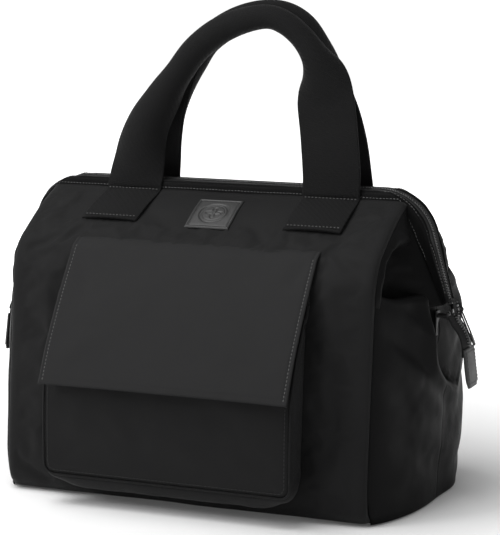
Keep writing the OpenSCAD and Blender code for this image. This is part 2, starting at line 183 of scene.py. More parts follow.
def normals_of(P):
    du, dv = np.gradient(P, axis=0), np.gradient(P, axis=1)
    return unit(np.cross(du, dv))


# ---- meshes --------------------------------------------------------------------------------------

def make(name, verts, faces, mat, uv=None, shade=True):
    me = bpy.data.meshes.new(name)
    me.from_pydata([tuple(v) for v in np.asarray(verts, float) * MM], [], faces)
    me.validate()
    if uv is not None:
        layer = me.uv_layers.new(name="UVMap")
        loops = np.array([l.vertex_index for l in me.loops])
        layer.data.foreach_set("uv", (np.asarray(uv, float) * MM)[loops].ravel())
    if shade:
        me.polygons.foreach_set("use_smooth", [True] * len(me.polygons))
    ob = bpy.data.objects.new(name, me)
    bpy.context.scene.collection.objects.link(ob)
    for m in (mat if isinstance(mat, (list, tuple)) else [mat]):
        me.materials.append(m)
    return ob


def grid(name, P, mat, away=None, wrap=False, caps=False):
    """A sheet from a grid of points P[i, j]. away is a point that its front faces look away from."""
    nu, nv = P.shape[:2]
    du = np.linalg.norm(np.diff(P, axis=0), axis=2).mean(axis=1)
    dv = np.linalg.norm(np.diff(P, axis=1), axis=2).mean(axis=0)
    u = np.concatenate([[0], np.cumsum(du)])
    v = np.concatenate([[0], np.cumsum(dv)])
    uv = np.stack(np.meshgrid(u, v, indexing="ij"), axis=2).reshape(-1, 2)
    cols = nv if wrap else nv - 1
    faces = [(i * nv + j, i * nv + (j + 1) % nv, (i + 1) * nv + (j + 1) % nv, (i + 1) * nv + j)
             for i in range(nu - 1) for j in range(cols)]
    if caps:
        faces += [tuple(range(nv - 1, -1, -1)), tuple((nu - 1) * nv + j for j in range(nv))]
    if away is not None:
        mid = (P[:-1, :-1] + P[1:, 1:]) / 2
        n = np.cross(P[:-1, 1:] - P[:-1, :-1], P[1:, :-1] - P[:-1, :-1])
        if (n * (mid - np.asarray(away, float))).sum() < 0:
            faces = [f[::-1] for f in faces]
    return make(name, P.reshape(-1, 3), faces, mat, uv)


def thicken(ob, t, offset=-1.0, inner=None):
    m = ob.modifiers.new("thickness", "SOLIDIFY")
    m.thickness = t * MM
    m.offset = offset
    if inner is not None:
        ob.data.materials.append(inner)
        m.material_offset = 1
    return ob


def rounded(ob, width, segments=2, angle=40):
    m = ob.modifiers.new("edge", "BEVEL")
    m.width = width * MM
    m.segments = segments
    m.limit_method = "ANGLE"
    m.angle_limit = math.radians(angle)
    return ob


class Soup:
    """Many small closed shapes in one mesh."""

    def __init__(self):
        self.verts, self.faces, self.count = [], [], 0

    def add(self, verts, faces):
        self.verts.append(np.asarray(verts, float))
        self.faces += [tuple(i + self.count for i in f) for f in faces]
        self.count += len(verts)

    def make(self, name, mat):
        v = np.vstack(self.verts)
        return make(name, v, self.faces, mat, np.stack([v[:, 0] + v[:, 1], v[:, 2]], axis=1))


def loft_faces(rings, n):
    faces = [(i * n + j, i * n + (j + 1) % n, (i + 1) * n + (j + 1) % n, (i + 1) * n + j)
             for i in range(rings - 1) for j in range(n)]
    return faces + [tuple(range(n - 1, -1, -1)), tuple((rings - 1) * n + j for j in range(n))]


CAPSULE = loft_faces(4, 6)


def stitches(soup, path, up, pitch=3.1, length=2.3, r=0.3, lift=0.12):
    """Thread stitches along a path; up holds the surface normal at each point."""
    path = np.asarray(path, float)
    d = lengths(path)
    up = np.broadcast_to(np.asarray(up, float), path.shape)

    def sample(at, rows):
        return np.array([np.interp(at, d, rows[:, k]) for k in range(3)])

    for at in np.arange(pitch / 2, d[-1], pitch):
        c = sample(at, path)
        t = unit(sample(min(at + 0.6, d[-1]), path) - sample(max(at - 0.6, 0), path))
        n = unit(sample(at, up))
        s = unit(np.cross(t, n))
        n = np.cross(s, t)
        rings = []
        for pos, k, dip in ((-0.5, 0.4, 0.6), (-0.26, 1, 0), (0.26, 1, 0), (0.5, 0.4, 0.6)):
            o = c + t * pos * length + n * (lift - dip * r)
            rings += [o + r * k * (math.cos(a) * s + 0.8 * math.sin(a) * n)
                      for a in np.arange(6) * math.pi / 3]
        soup.add(rings, CAPSULE)


def tube(name, path, r, mat, sides=10, flat=1.0, up=(0, 0, 1)):
    """A round cord along a path, as one closed mesh."""
    path = np.asarray(path, float)
    t = tangents(path)
    ref = np.broadcast_to(np.asarray(up, float), path.shape)
    s = unit(np.cross(t, ref))
    n = np.cross(s, t)
    a = np.arange(sides) * 2 * math.pi / sides
    wide, tall = np.cos(a)[None, :, None], flat * np.sin(a)[None, :, None]
    P = path[:, None] + r * (wide * s[:, None] + tall * n[:, None])
    return grid(name, P, mat, wrap=True, caps=True)


def vertex_points(me):
    co = np.empty(len(me.vertices) * 3)
    me.vertices.foreach_get("co", co)
    return co.reshape(-1, 3)


def settle(ob, pins, cap, frames=20, swell=0.02):
    """A short Cloth simulation with the pinned points held and no point moved past cap mm."""
    me = ob.data
    start = vertex_points(me)
    group = ob.vertex_groups.new(name="held")
    pins = np.round(pins, 2)
    for weight in np.unique(pins):
        if weight > 0:
            group.add([int(i) for i in np.flatnonzero(pins == weight)], float(weight), "REPLACE")
    mod = ob.modifiers.new("settle", "CLOTH")
    cloth = mod.settings
    cloth.vertex_group_mass = "held"
    cloth.use_pressure = True
    cloth.uniform_pressure_force = 0
    cloth.shrink_min = -swell
    cloth.tension_stiffness = cloth.compression_stiffness = 30
    cloth.bending_stiffness = 1.5
    cloth.quality = 4
    cloth.effector_weights.gravity = 0
    cloth.mass = 0.2
    mod.point_cache.frame_start, mod.point_cache.frame_end = 1, frames
    scene = bpy.context.scene
    for f in range(1, frames + 1):
        scene.frame_set(f)
    settled = ob.evaluated_get(bpy.context.evaluated_depsgraph_get())
    shift = vertex_points(settled.data) - start
    ob.modifiers.remove(mod)
    ob.vertex_groups.clear()
    scene.frame_set(1)
    far = np.linalg.norm(shift, axis=1, keepdims=True) / MM
    shift *= cap * np.tanh(far / cap) / np.maximum(far, 1e-9)
    me.vertices.foreach_set("co", (start + shift).ravel())
    me.update()


def mirror_x(P):
    return P * arr(-1, 1, 1)


def mirror_y(P):
    return P * arr(1, -1, 1)


# ---- materials -----------------------------------------------------------------------------------

class Nodes:
    """Short names for building a node tree."""

    def __init__(self, name):
        self.mat = bpy.data.materials.new(name)
        self.mat.use_nodes = True
        self.tree = self.mat.node_tree
        self.tree.nodes.clear()
        self.out = self.tree.nodes.new("ShaderNodeOutputMaterial")
        self.bsdf = self.tree.nodes.new("ShaderNodeBsdfPrincipled")
        self.tree.links.new(self.bsdf.outputs[0], self.out.inputs["Surface"])

    def new(self, kind, **settings):
        n = self.tree.nodes.new("ShaderNode" + kind)
        for k, v in settings.items():
            setattr(n, k, v)
        return n

    def put(self, value, socket):
        if isinstance(value, bpy.types.NodeSocket):
            self.tree.links.new(value, socket)
        else:
            socket.default_value = value

    def math(self, op, a, b=0.0, c=0.0):
        n = self.new("Math", operation=op)
        for v, s in zip((a, b, c), n.inputs):
            self.put(v, s)
        return n.outputs[0]

    def noise(self, vector, scale, detail=3.0, rough=0.5):
        n = self.new("TexNoise")
        self.put(vector, n.inputs["Vector"])
        n.inputs["Scale"].default_value = scale
        n.inputs["Detail"].default_value = detail
        n.inputs["Roughness"].default_value = rough
        return n.outputs["Fac"]

    def mix(self, fac, a, b):
        n = self.new("Mix", data_type="RGBA")
        self.put(fac, n.inputs[0])
        self.put(a, n.inputs[6])
        self.put(b, n.inputs[7])
        return n.outputs[2]

    def span(self, value, lo, hi, to_lo, to_hi):
        n = self.new("MapRange")
        for v, s in zip((value, lo, hi, to_lo, to_hi), n.inputs):
            self.put(v, s)
        return n.outputs[0]

    def coords(self, kind="Object"):
        return self.new("TexCoord").outputs[kind]

    def bump(self, height, distance, strength=1.0, below=None):
        n = self.new("Bump")
        n.inputs["Strength"].default_value = strength
        n.inputs["Distance"].default_value = distance
        self.put(height, n.inputs["Height"])
        if below is not None:
            self.put(below, n.inputs["Normal"])
        return n.outputs[0]

    def set(self, **values):
        for k, v in values.items():
            self.put(v, self.bsdf.inputs[k.replace("_", " ")])
        return self


def rgb(v, tint=(1.0, 1.0, 1.0)):
    return (v * tint[0], v * tint[1], v * tint[2], 1.0)


def woven(name, tone, pitch, repeat=2, depth=0.12, rough=0.7, tint=(1, 1, 1.02), sheen=0.03, contrast=0.35,
          crumple=0.0, gloss=0.14):
    """Woven cloth: threads of the given pitch in mm, over `repeat` / 2 and under `repeat` / 2."""
    n = Nodes(name)
    sep = n.new("SeparateXYZ")
    n.put(n.coords("UV"), sep.inputs[0])
    u = n.math("MULTIPLY", sep.outputs[0], 1000.0 / pitch)
    v = n.math("MULTIPLY", sep.outputs[1], 1000.0 / pitch)
    warp = n.math("ABSOLUTE", n.math("SINE", n.math("MULTIPLY", u, math.pi)))
    weft = n.math("ABSOLUTE", n.math("SINE", n.math("MULTIPLY", v, math.pi)))
    cell = n.math("FLOORED_MODULO", n.math("ADD", n.math("FLOOR", u), n.math("FLOOR", v)), float(repeat))
    over = n.math("LESS_THAN", cell, repeat / 2)
    inv = n.math("SUBTRACT", 1.0, over)
    high = n.math("ADD", n.math("MULTIPLY", warp, over), n.math("MULTIPLY", weft, inv))
    body = n.noise(n.coords("Object"), 26.0, 4.0, 0.6)
    fine = n.noise(n.coords("Object"), 900.0, 2.0, 0.5)
    shade = n.math("ADD", n.math("MULTIPLY", high, contrast), n.math("MULTIPLY", body, 0.5))
    shade = n.math("ADD", shade, n.math("MULTIPLY", fine, 0.2))
    n.set(Base_Color=n.mix(n.span(shade, 0.1, 1.0, 0.0, 1.0), rgb(tone * 0.62, tint), rgb(tone * 1.45, tint)),
          Roughness=n.span(body, 0.3, 0.7, rough - 0.06, rough + 0.07))
    n.bsdf.inputs["Sheen Weight"].default_value = sheen
    n.bsdf.inputs["Sheen Roughness"].default_value = 0.45
    n.bsdf.inputs["Specular IOR Level"].default_value = gloss
    n.bsdf.inputs["Specular Tint"].default_value = (0.6, 0.6, 0.6, 1)
    low = None
    if crumple:
        low = n.bump(n.noise(n.coords("Object"), 60.0, 5.0, 0.62), 0.0022, crumple)
    n.put(n.bump(high, depth * MM, 0.8, low), n.bsdf.inputs["Normal"])
    return n.mat


def leather(name, tone, grain=700.0, rough=0.5):
    n = Nodes(name)
    v = n.new("TexVoronoi", feature="DISTANCE_TO_EDGE")
    n.put(n.coords("Object"), v.inputs["Vector"])
    v.inputs["Scale"].default_value = grain
    cells = n.math("MINIMUM", v.outputs["Distance"], 0.25)
    cloud = n.noise(n.coords("Object"), 90.0, 4.0, 0.6)
    n.set(Base_Color=n.mix(n.span(cloud, 0.3, 0.7, 0, 1), rgb(tone * 0.8), rgb(tone * 1.25)),
          Roughness=n.span(cloud, 0.3, 0.7, rough - 0.08, rough + 0.08))
    n.put(n.bump(cells, 0.0005, 0.5), n.bsdf.inputs["Normal"])
    return n.mat


def metal(name, tone, rough=0.3, scale=400.0):
    n = Nodes(name)
    scuff = n.noise(n.coords("Object"), scale, 4.0, 0.6)
    n.set(Base_Color=n.mix(n.span(scuff, 0.35, 0.65, 0, 1), rgb(tone * 0.85), rgb(tone * 1.1)),
          Roughness=n.span(scuff, 0.3, 0.7, rough - 0.07, rough + 0.1))
    n.bsdf.inputs["Metallic"].default_value = 1.0
    n.put(n.bump(scuff, 0.0001, 0.3), n.bsdf.inputs["Normal"])
    return n.mat


def plain(name, tone, rough=0.6):
    n = Nodes(name)
    cloud = n.noise(n.coords("Object"), 500.0, 3.0, 0.6)
    n.set(Base_Color=n.mix(cloud, rgb(tone * 0.8), rgb(tone * 1.2)), Roughness=rough)
    n.put(n.bump(cloud, 0.0002, 0.3), n.bsdf.inputs["Normal"])
    return n.mat


SHELL = woven("shell_nylon", 0.0098, 0.55, depth=0.06, rough=0.62, crumple=0.10)
FLAP = woven("flap_nylon", 0.0165, 0.55, depth=0.06, rough=0.66, crumple=0.10)
GUSSET = woven("gusset_nylon", 0.0055, 0.5, depth=0.04, rough=0.5, sheen=0.0, crumple=0.07, gloss=0.06)
WEBBING = woven("webbing_twill", 0.0072, 1.25, repeat=4, depth=0.25, rough=0.7, contrast=0.7, gloss=0.09)
TAPE = woven("zip_tape", 0.0095, 0.8, repeat=4, depth=0.12, rough=0.7, contrast=0.6)
LINING = woven("lining_cloth", 0.035, 0.4, depth=0.04, rough=0.6, crumple=0.2)
THREAD = plain("thread", 0.085, 0.5)
THREAD_DARK = plain("thread_dark", 0.022, 0.6)
LEATHER = leather("patch_leather", 0.022)
LEATHER_DARK = leather("tab_leather", 0.012, rough=0.5)
DARK_METAL = metal("dark_plating", 0.035, 0.3)
BRIGHT_METAL = metal("bright_plating", 0.05, 0.26)
TEETH_METAL = metal("zip_teeth_metal", 0.14, 0.34, 900.0)
BOARD = plain("base_board", 0.03, 0.8)


def own(ob, body, *nodes):
    """The piece rides on body and stands for those CAD nodes."""
    if "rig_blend" not in ob:
        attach(ob, body)
    if nodes:
        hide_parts(*nodes)
    return ob


def put_on_node(node, mat, bevel=0.0):
    """A CAD node that stays, with a finish and a softened edge."""
    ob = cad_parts[node]
    ob.data.materials.clear()
    ob.data.materials.append(mat)
    if bevel:
        rounded(ob, bevel)


# Which way each half lies in Y, and each side in X.
HALVES = {"front": -1, "rear": 1}
SIDES = {"left": -1, "right": 1}


def bend_shoulder(ob, half):
    """The piece bends where the wall turns in to become the roof."""
    start, end = facing(half, SHOULDER + arr((0, -10, -9), (0, 10, 7)))
    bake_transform(ob, half + "_wall", half + "_top", tuple(start * MM), tuple(end * MM))


def cloth(name, P, mat, thick, body, *nodes, away=None, offset=-1.0, bend=None):
    """A sheet of cloth or leather with a thickness; bend names the half whose shoulder folds it."""
    ob = grid(name, P, mat, away=away)
    thicken(ob, thick, offset)
    if bend:
        bend_shoulder(ob, bend)
    return own(ob, body, *nodes)


# ---- walls and roofs -----------------------------------------------------------------------------

EDGE_R = 9.0
EDGE_DIP = 4.0
PROFILE = curve(PANEL_LINE + ROOF_LINE, 400)
PROFILE_T = tangents(PROFILE)
PROFILE_N = np.stack([-PROFILE_T[:, 1], PROFILE_T[:, 0]], axis=1)
PROFILE_D = lengths(PROFILE)
SHOULDER_D = PROFILE_D[np.argmin(np.hypot(PROFILE[:, 0] - SHOULDER[1], PROFILE[:, 1] - SHOULDER[2]))]
PROFILE_LEN = PROFILE_D[-1]


def on_profile(d, out=0.0):
    """[y, z] on the front half's outline, d mm up from the base edge and out mm proud of it."""
    y = np.interp(d, PROFILE_D, PROFILE[:, 0]) + out * np.interp(d, PROFILE_D, PROFILE_N[:, 0])
    z = np.interp(d, PROFILE_D, PROFILE[:, 1]) + out * np.interp(d, PROFILE_D, PROFILE_N[:, 1])
    return y, z


def shell_out(x, d, seed):
    """How far the padded cloth stands proud of the outline."""
    e = HW - np.abs(x)
    dip = EDGE_DIP * (1 - np.sqrt(np.clip(1 - np.clip((EDGE_R - e) / EDGE_R, 0, 1) ** 2, 0, 1)))
    inside = smooth(e, 2, 40)
    wall = np.sin(np.pi * np.clip(d / SHOULDER_D, 0, 1)) ** 0.7
    roof = np.sin(np.pi * np.clip((d - SHOULDER_D) / (PROFILE_LEN - SHOULDER_D), 0, 1))
    soft = 1.6 * fbm(x, d, seed, 70.0, 3) * inside * (0.4 + 0.6 * np.clip(wall + roof, 0, 1))
    folds = creases(x, d, [
        (-155, 30, -118, 8, 7, -1.4), (150, 14, 118, 34, 7, -1.4), (148, 60, 120, 20, 9, 1.2),
        (-150, 205, -112, 222, 6, -1.5), (154, 196, 116, 222, 7, -1.6), (120, 232, 158, 262, 7, 1.5),
        (-118, 214, -104, 236, 4, -1.6), (-126, 208, -114, 228, 4, 1.2), (112, 214, 126, 234, 4, -1.3),
        (-60, 262, -30, 240, 8, -1.2), (34, 250, 60, 226, 7, -1.2), (-158, 100, -120, 130, 12, 1.0),
        (156, 120, 122, 150, 12, 1.2), (130, 40, 136, 180, 9, -1.0), (-136, 60, -132, 170, 9, -0.8),
    ])
    roll = 1.2 * np.exp(-((d - 12) / 9) ** 2)
    return -dip + 2.2 * wall * inside - 2.0 * roof * inside + soft + folds * smooth(e, 0, 14) + roll


SHELL_X = np.concatenate([np.linspace(-HW, -HW + 12, 9)[:-1], np.linspace(-HW + 12, HW - 12, 101),
                          np.linspace(HW - 12, HW, 9)[1:]])


def shell_grid(seed, lift=0.0, x=SHELL_X, d0=0.0, d1=PROFILE_LEN, rows=118):
    d = np.linspace(d0, d1, rows)
    X, D = np.meshgrid(x, d)
    y, z = on_profile(D, shell_out(X, D, seed) + lift)
    return np.stack([X, y, z], axis=2)


def shell_point(x, d, seed, lift=0.0):
    x, d = np.broadcast_arrays(np.asarray(x, float), np.asarray(d, float))
    y, z = on_profile(d, shell_out(x, d, seed) + lift)
    return np.stack([x, y, z], axis=-1)


def shell_normal(d):
    n = np.stack([np.zeros_like(np.asarray(d, float)), np.interp(d, PROFILE_D, PROFILE_N[:, 0]),
                  np.interp(d, PROFILE_D, PROFILE_N[:, 1])], axis=-1)
    return unit(n)


SEEDS = {"front": 3.0, "rear": 41.0}


def facing(half, P):
    """Points made for the front half, carried to this half."""
    return P if half == "front" else mirror_y(P)


def on_side(side, P):
    """Points made for the right side, carried to this side."""
    return P if side == "right" else mirror_x(P)


def held_points(half, P):
    """1 where the wall is sewn down or covered by another piece, down to 0 in the open cloth."""
    d = np.linspace(0, PROFILE_LEN, P.shape[0])[:, None]
    x = np.abs(P[..., 0])
    edges = 1 - smooth(HW - x, 3, 18) * smooth(d, 2, 14) * smooth(PROFILE_LEN - d, 3, 14)
    tabs = smooth(128 - x, 0, 6) * smooth(d - SHOULDER_D - 22, 0, 6)
    if half == "rear":
        return np.maximum(edges, smooth(x - 50, 0, 6) * tabs)
    behind = smooth(POCKET_HW + 8 - x, 0, 8) * smooth(SHOULDER_D - 2 - d, 0, 8)
    return np.maximum(np.maximum(edges, behind), tabs)


def shell(half):
    seed = SEEDS[half]
    P = shell_grid(seed)
    ob = grid(half + "_shell", facing(half, P), SHELL, away=(0, 0, 110))
    settle(ob, held_points(half, P).ravel(), cap=3.5)
    thicken(ob, 2.0)
    bend_shoulder(ob, half)
    own(ob, half + "_wall", half + "_panel", half + "_roof")
    inside = shell_grid(seed + 9, -3.2, np.linspace(-HW + 4, HW - 4, 60), 3.0, PROFILE_LEN - 4, 60)
    cloth(half + "_lining_cloth", facing(half, inside), LINING, 0.6, half + "_wall", half + "_lining",
          away=(0, HALVES[half] * 400, 120), bend=half)


for half in HALVES:
    shell(half)


# ---- gussets -------------------------------------------------------------------------------------

SEAM_X = HW + 0.3


def seam(d):
    """The seam between wall and gusset on the front right corner."""
    y, z = on_profile(d, -EDGE_DIP - 0.2)
    return np.stack([np.full_like(y, SEAM_X), y, z], axis=-1)


def seam_y(z):
    table = seam(np.linspace(0, SHOULDER_D, 120))
    return np.interp(z, table[:, 2], table[:, 1])


# The gusset's deep fold in [y, z], from the slider down and back.
VALLEY = curve([(-25, 178), (-24, 160), (-23, 146), (-20, 133), (-12, 120), (4, 107), (24, 98), (46, 90)], 60)


def gusset_front(rear):
    """The lower gusset from its middle (t = 0) to one seam (t = 1), and from the base to the rolled lip."""
    t = np.linspace(0, 1, 56)
    s = np.concatenate([np.linspace(0, 1, 76), 1 + np.linspace(0.02, 0.3, 16)])
    T, S = np.meshgrid(t, s, indexing="ij")
    up = np.clip(S, 0, 1)
    lobe = smooth(T, 0.16, 0.3) if not rear else smooth(T, 0.1, 0.42)
    top = PIVOT_Z + 6 + lobe * 8 + 17 * T ** 7
    z = 1.2 + up * (top - 1.2)
    ys = seam_y(z)
    y = ys * T
    side = y if not rear else -y
    body = BULGE - 1 + 3.0 * np.sin(np.pi * np.clip(z / 190, 0, 1)) - 4 * smooth(z, 120, 185) * T
    back = smooth(side, 0, 45)
    plump = 2.4 + back * (1.0 + 1.4 * smooth(z, 5, 60))
    x = SEAM_X + (body + 3 * back) * (1 - T ** plump) ** 0.85
    x += 1.5 * fbm(side, z, 7.0, 55.0, 3) * (1 - T ** 6) * smooth(z, 4, 40)
    x += 0.3 * fbm(side * 1.4 + z * 0.7, z * 0.5, 17.0, 22.0, 2) * (1 - T ** 6) * smooth(z, 30, 90)
    dist = np.full(z.shape, 1e9)
    sign = np.zeros(z.shape)
    reach = np.zeros(z.shape)
    for k in range(len(VALLEY)):
        d = np.hypot(side - VALLEY[k, 0], z - VALLEY[k, 1])
        near = d < dist
        dist = np.where(near, d, dist)
        sign = np.where(near, VALLEY[k, 0] - side, sign)
        reach = np.where(near, k / (len(VALLEY) - 1), reach)
    fade = np.sin(np.pi * np.clip(0.42 + 0.58 * reach, 0, 1)) ** 0.6
    left = smooth(sign, -2.0, 3.0)
    x += fade * (-7 * np.exp(-(dist / 4.0) ** 2) + left * 6.5 * np.exp(-((dist - 8) / 8) ** 2)
                 - (1 - left) * 9.0 * np.exp(-(dist / 17) ** 2))
    x += creases(side, z, [
        (-88, 160, -34, 118, 8, -3.6), (-74, 172, -22, 132, 7, 3.0), (-92, 120, -50, 84, 11, -3.0),
        (-40, 104, 6, 70, 10, 2.6), (-84, 66, -18, 40, 12, -2.6), (-24, 62, 38, 34, 11, 2.4),
        (86, 158, 36, 118, 9, -3.4), (70, 168, 30, 140, 8, 2.8), (90, 110, 40, 70, 11, -2.6),
        (-90, 24, -40, 14, 7, -1.6), (40, 20, 88, 30, 8, -1.6),
    ]) * (1 - T ** 5)
    over = np.clip(S - 1, 0, 1) / 0.3
    a = over * math.pi * 0.85
    lip_r = 5.5 * (1 - T ** 8) + 0.5
    lean = smooth(S, 0.86, 1.0) * 2.5
    x = x - lean - lip_r * (1 - np.cos(a)) - 32 * smooth(over, 0.45, 1.0) * (1 - 0.8 * T ** 6)
    z = z + lip_r * np.sin(np.minimum(a, math.pi)) * np.where(a > 0, 1, 0) - 14 * smooth(over, 0.5, 1.0)
    y = y * (1 - 0.02 * over)
    return np.stack([np.maximum(x, 120), y, z], axis=2)


def gusset_piece(side, half):
    P = facing(half, gusset_front(half == "rear"))
    ob = grid(f"gusset_{side}_{half}", on_side(side, P), GUSSET, away=(0, 0, 80))
    thicken(ob, 1.0)
    sy = HALVES[half]
    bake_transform(ob, "base", half + "_wall", (0, sy * 0.012, 0), (0, sy * 0.092, 0))
    own(ob, "base", "gusset_" + side)


for side in SIDES:
    for half in HALVES:
        gusset_piece(side, half)


# ---- the tuck at each upper corner ---------------------------------------------------------------

def tuck_grid(seed):
    d = np.linspace(SHOULDER_D - 42, PROFILE_LEN - 2, 64)
    edge = seam(d)
    line = curve([(HW + 1.8, -83, 172), (HW + 1.5, -80, 186), (HW + 1, -74, 199), (HW + 0.5, -65, 209),
                  (HW + 0.5, -54, 214), (HW + 1.5, -40, 215.5), (HW + 3.5, -25, 215), (HW + 4.5, -14, 217),
                  (HW - 0.5, -15, 232), (HW - 3.5, -16, 244)], 64)
    v = np.linspace(0, 1, 20)
    sheet = edge[:, None] + v[None, :, None] * (line - edge)[:, None]
    puff = 3.2 * np.sin(np.pi * v)[None, :] ** 0.8 + 1.2 * fbm(sheet[..., 1], sheet[..., 2], seed, 12.0, 2)
    ends = np.sin(np.pi * np.clip(np.linspace(0.06, 0.94, 64), 0, 1)) ** 0.5
    sheet[..., 0] += puff * ends[:, None] * np.sin(np.pi * np.clip(v, 0, 1))[None, :] ** 0.3
    w = np.linspace(0.08, 1, 12)
    roll = []
    for k in w:
        p = line.copy()
        p[:, 0] -= 34 * k ** 1.1
        p[:, 1] += 6 * math.sin(math.pi * min(1, k * 1.2))
        p[:, 2] -= 2.5 * math.sin(math.pi * k) + 5 * k
        roll.append(p)
    return np.concatenate([sheet, np.stack(roll, axis=1)], axis=1)


def tuck_piece(side, half):
    P = facing(half, tuck_grid(2.0 if half == "front" else 8.0))
    cloth(f"tuck_{side}_{half}", on_side(side, P), GUSSET, 0.9, half + "_wall", f"{half}_tuck_{side}",
          away=(SIDES[side] * 60, 0, 190), bend=half)


for side in SIDES:
    for half in HALVES:
        tuck_piece(side, half)


# ---- the frame's sleeve and fans, on the swinging wires ------------------------------------------

EYE_X = HW + BULGE + 3
WIRE_CORNER = arr(HW - 6, MOUTH_Y, MOUTH_Z - 1)
LEG_FOOT = arr(EYE_X + 1, -3.7, PIVOT_Z + 8)
RUN_END = RUN_FOOT + RUN_LEN * RUN_DIR
ARC_R = (ZIP_TOP - RUN_END[1]) / (1 - math.sin(RUN_TILT))
ARC_MID = RUN_END - ARC_R * arr(math.cos(RUN_TILT), math.sin(RUN_TILT))


def zip_half(s0, n=120):
    """The zip's path in [x, z], from s0 mm up the right-hand run to the middle of the top."""
    a = np.linspace(RUN_TILT, math.pi / 2, 24)
    arc = ARC_MID + ARC_R * np.stack([np.cos(a), np.sin(a)], axis=1)
    return resample(np.vstack([[RUN_FOOT + s0 * RUN_DIR], arc, [[0, ZIP_TOP]]]), n)


def zip_path(s0, n=240):
    r = zip_half(s0, n // 2)
    return np.vstack([r, (r * arr(-1, 1))[::-1][1:]])


def sleeve_section(s, k):
    """Cross-section of the sleeve at s (0 at the mouth corner, 1 at the pivot), k points across."""
    q = zip_half(TEETH_START)
    arc_len = ARC_R * (math.pi / 2 - RUN_TILT)
    corner = RUN_LEN - TEETH_START + 0.8 * arc_len
    cut = int(len(q) * corner / (RUN_LEN - TEETH_START + arc_len + ARC_MID[0]))
    i = (1 - s) * cut
    j = int(min(i, cut - 1))
    z = q[j] + (i - j) * (q[j + 1] - q[j])
    w = WIRE_CORNER + s * (LEG_FOOT - WIRE_CORNER)
    a = math.pi / 2 - min(1, 2.5 * s) * (math.pi / 2 - RUN_TILT)
    o = arr(math.cos(a), 0, math.sin(a))
    e = -12 + 6.5 * max(0, s - 0.5) * 2
    r = 3.6
    edge = arr(z[0], e + 3.5 * (1 - s), z[1]) + 1.1 * o
    near = arr(z[0], e, z[1]) + 1.7 * o
    over = w + r * (0.62 * o + arr(0, -0.78, 0))
    front = w + r * (0.05 * o + arr(0, -1.0, 0))
    under = w + r * (-0.75 * o + arr(0, -0.7, 0))
    swell = 2.6 * s * math.sin(math.pi * s) + 0.4
    mid = (near + over) / 2 + (swell + 0.4) * o + arr(0, -1.0 - 1.5 * s, 0)
    return curve([edge, near, mid, over, front, under], k)


def sleeve_grid(k=18, n=46):
    side = [sleeve_section(s, k) for s in np.linspace(0, 1, n)]
    right = np.stack(side)
    right[..., 1] += 0.5 * fbm(right[..., 0], right[..., 2], 5.0, 16.0, 2)
    right[..., 0] += 0.8 * fbm(right[..., 2], right[..., 1], 9.0, 14.0, 2)
    top = []
    for x in np.linspace(0, 1, 60)[1:-1]:
        p = right[0] + x * (mirror_x(right[0]) - right[0])
        p[:, 2] += 0.35 * fbm(p[:, 0], p[:, 1], 3.0, 22.0, 2)
        top.append(p)
    return np.concatenate([right[::-1], np.stack(top), mirror_x(right)], axis=0)


def fan_grid(seed, rear):
    rows, cols = 44, 26
    P = np.zeros((rows, cols, 3))
    for i, s in enumerate(np.linspace(0.02, 1.0, rows)):
        w = WIRE_CORNER + s * (LEG_FOOT - WIRE_CORNER)
        to = arr(HW - 24 + 20 * rear, -60 - 12 * s, SHOULDER_Z - 4 - 47 * s)
        a = w + arr(2.2, -2.6, 0)
        for j, v in enumerate(np.linspace(0, 1, cols)):
            P[i, j] = a + v * (to - a)
            swell = math.sin(math.pi * v)
            P[i, j, 0] += 3.5 * swell * (1 - 0.4 * s) - 6 * swell ** 2 * s
            P[i, j, 0] += 14 * rear * swell * math.sin(math.pi * s)
    bump = fbm(P[..., 1], P[..., 2], seed, 20.0, 3)
    v = np.linspace(0, 1, cols)[None, :]
    P[..., 0] += 3.0 * bump * np.sin(np.pi * v) ** 0.8
    return P


def frame_cloth(half):
    body = half + "_frame"
    P = sleeve_grid()
    cloth(half + "_sleeve_cloth", facing(half, P), GUSSET, 0.9, body, half + "_sleeve", half + "_wire",
          away=(0, HALVES[half] * 6, 190))
    threads = Soup()
    n = normals_of(P)
    if (n[len(P) // 2, 4] * arr(0, 0, 1)).sum() < 0:
        n = -n
    for col in (4, 13):
        stitches(threads, facing(half, P[3:-3, col]), facing(half, n[3:-3, col]), 2.9, 2.0, 0.28)
    own(threads.make(half + "_sleeve_threads", THREAD), body)
    for side, s in SIDES.items():
        F = facing(half, fan_grid(30.0, 1) if half == "rear" else fan_grid(12.0, 0))
        cloth(f"{half}_fan_cloth_{side}", on_side(side, F), GUSSET, 0.8, body, f"{half}_fan_{side}",
              away=(s * 100, 0, 120))


for half in HALVES:
    frame_cloth(half)


# ---- zip -----------------------------------------------------------------------------------------

PITCH = 2.3


def zip_frame(path):
    """3-D points, tangents and outward normals of a path in [x, z]."""
    p = upright(path)
    t = tangents(p)
    out = -side_of(t)
    if out[0, 0] < 0:
        out = -out
    return p, t, out


TOOTH_OUTLINE = [(-1, -0.55), (-1, 0.55), (-0.5, 1), (0.5, 1), (1, 0.55), (1, -0.55), (0.5, -1), (-0.5, -1)]


def tooth(c, t, out, sy):
    """One zip tooth: a waisted block with a rounded head that reaches over the middle."""
    verts = []
    for dy, wide, tall in ((3.0, 0.45, 0.7), (1.7, 0.62, 1.15), (0.3, 0.5, 1.15), (-0.7, 0.36, 0.75)):
        o = c + arr(0, sy * dy, 0)
        for a, b in TOOTH_OUTLINE:
            verts.append(o + t * wide * a + out * tall * b)
    return verts


TOOTH = loft_faces(4, 8)


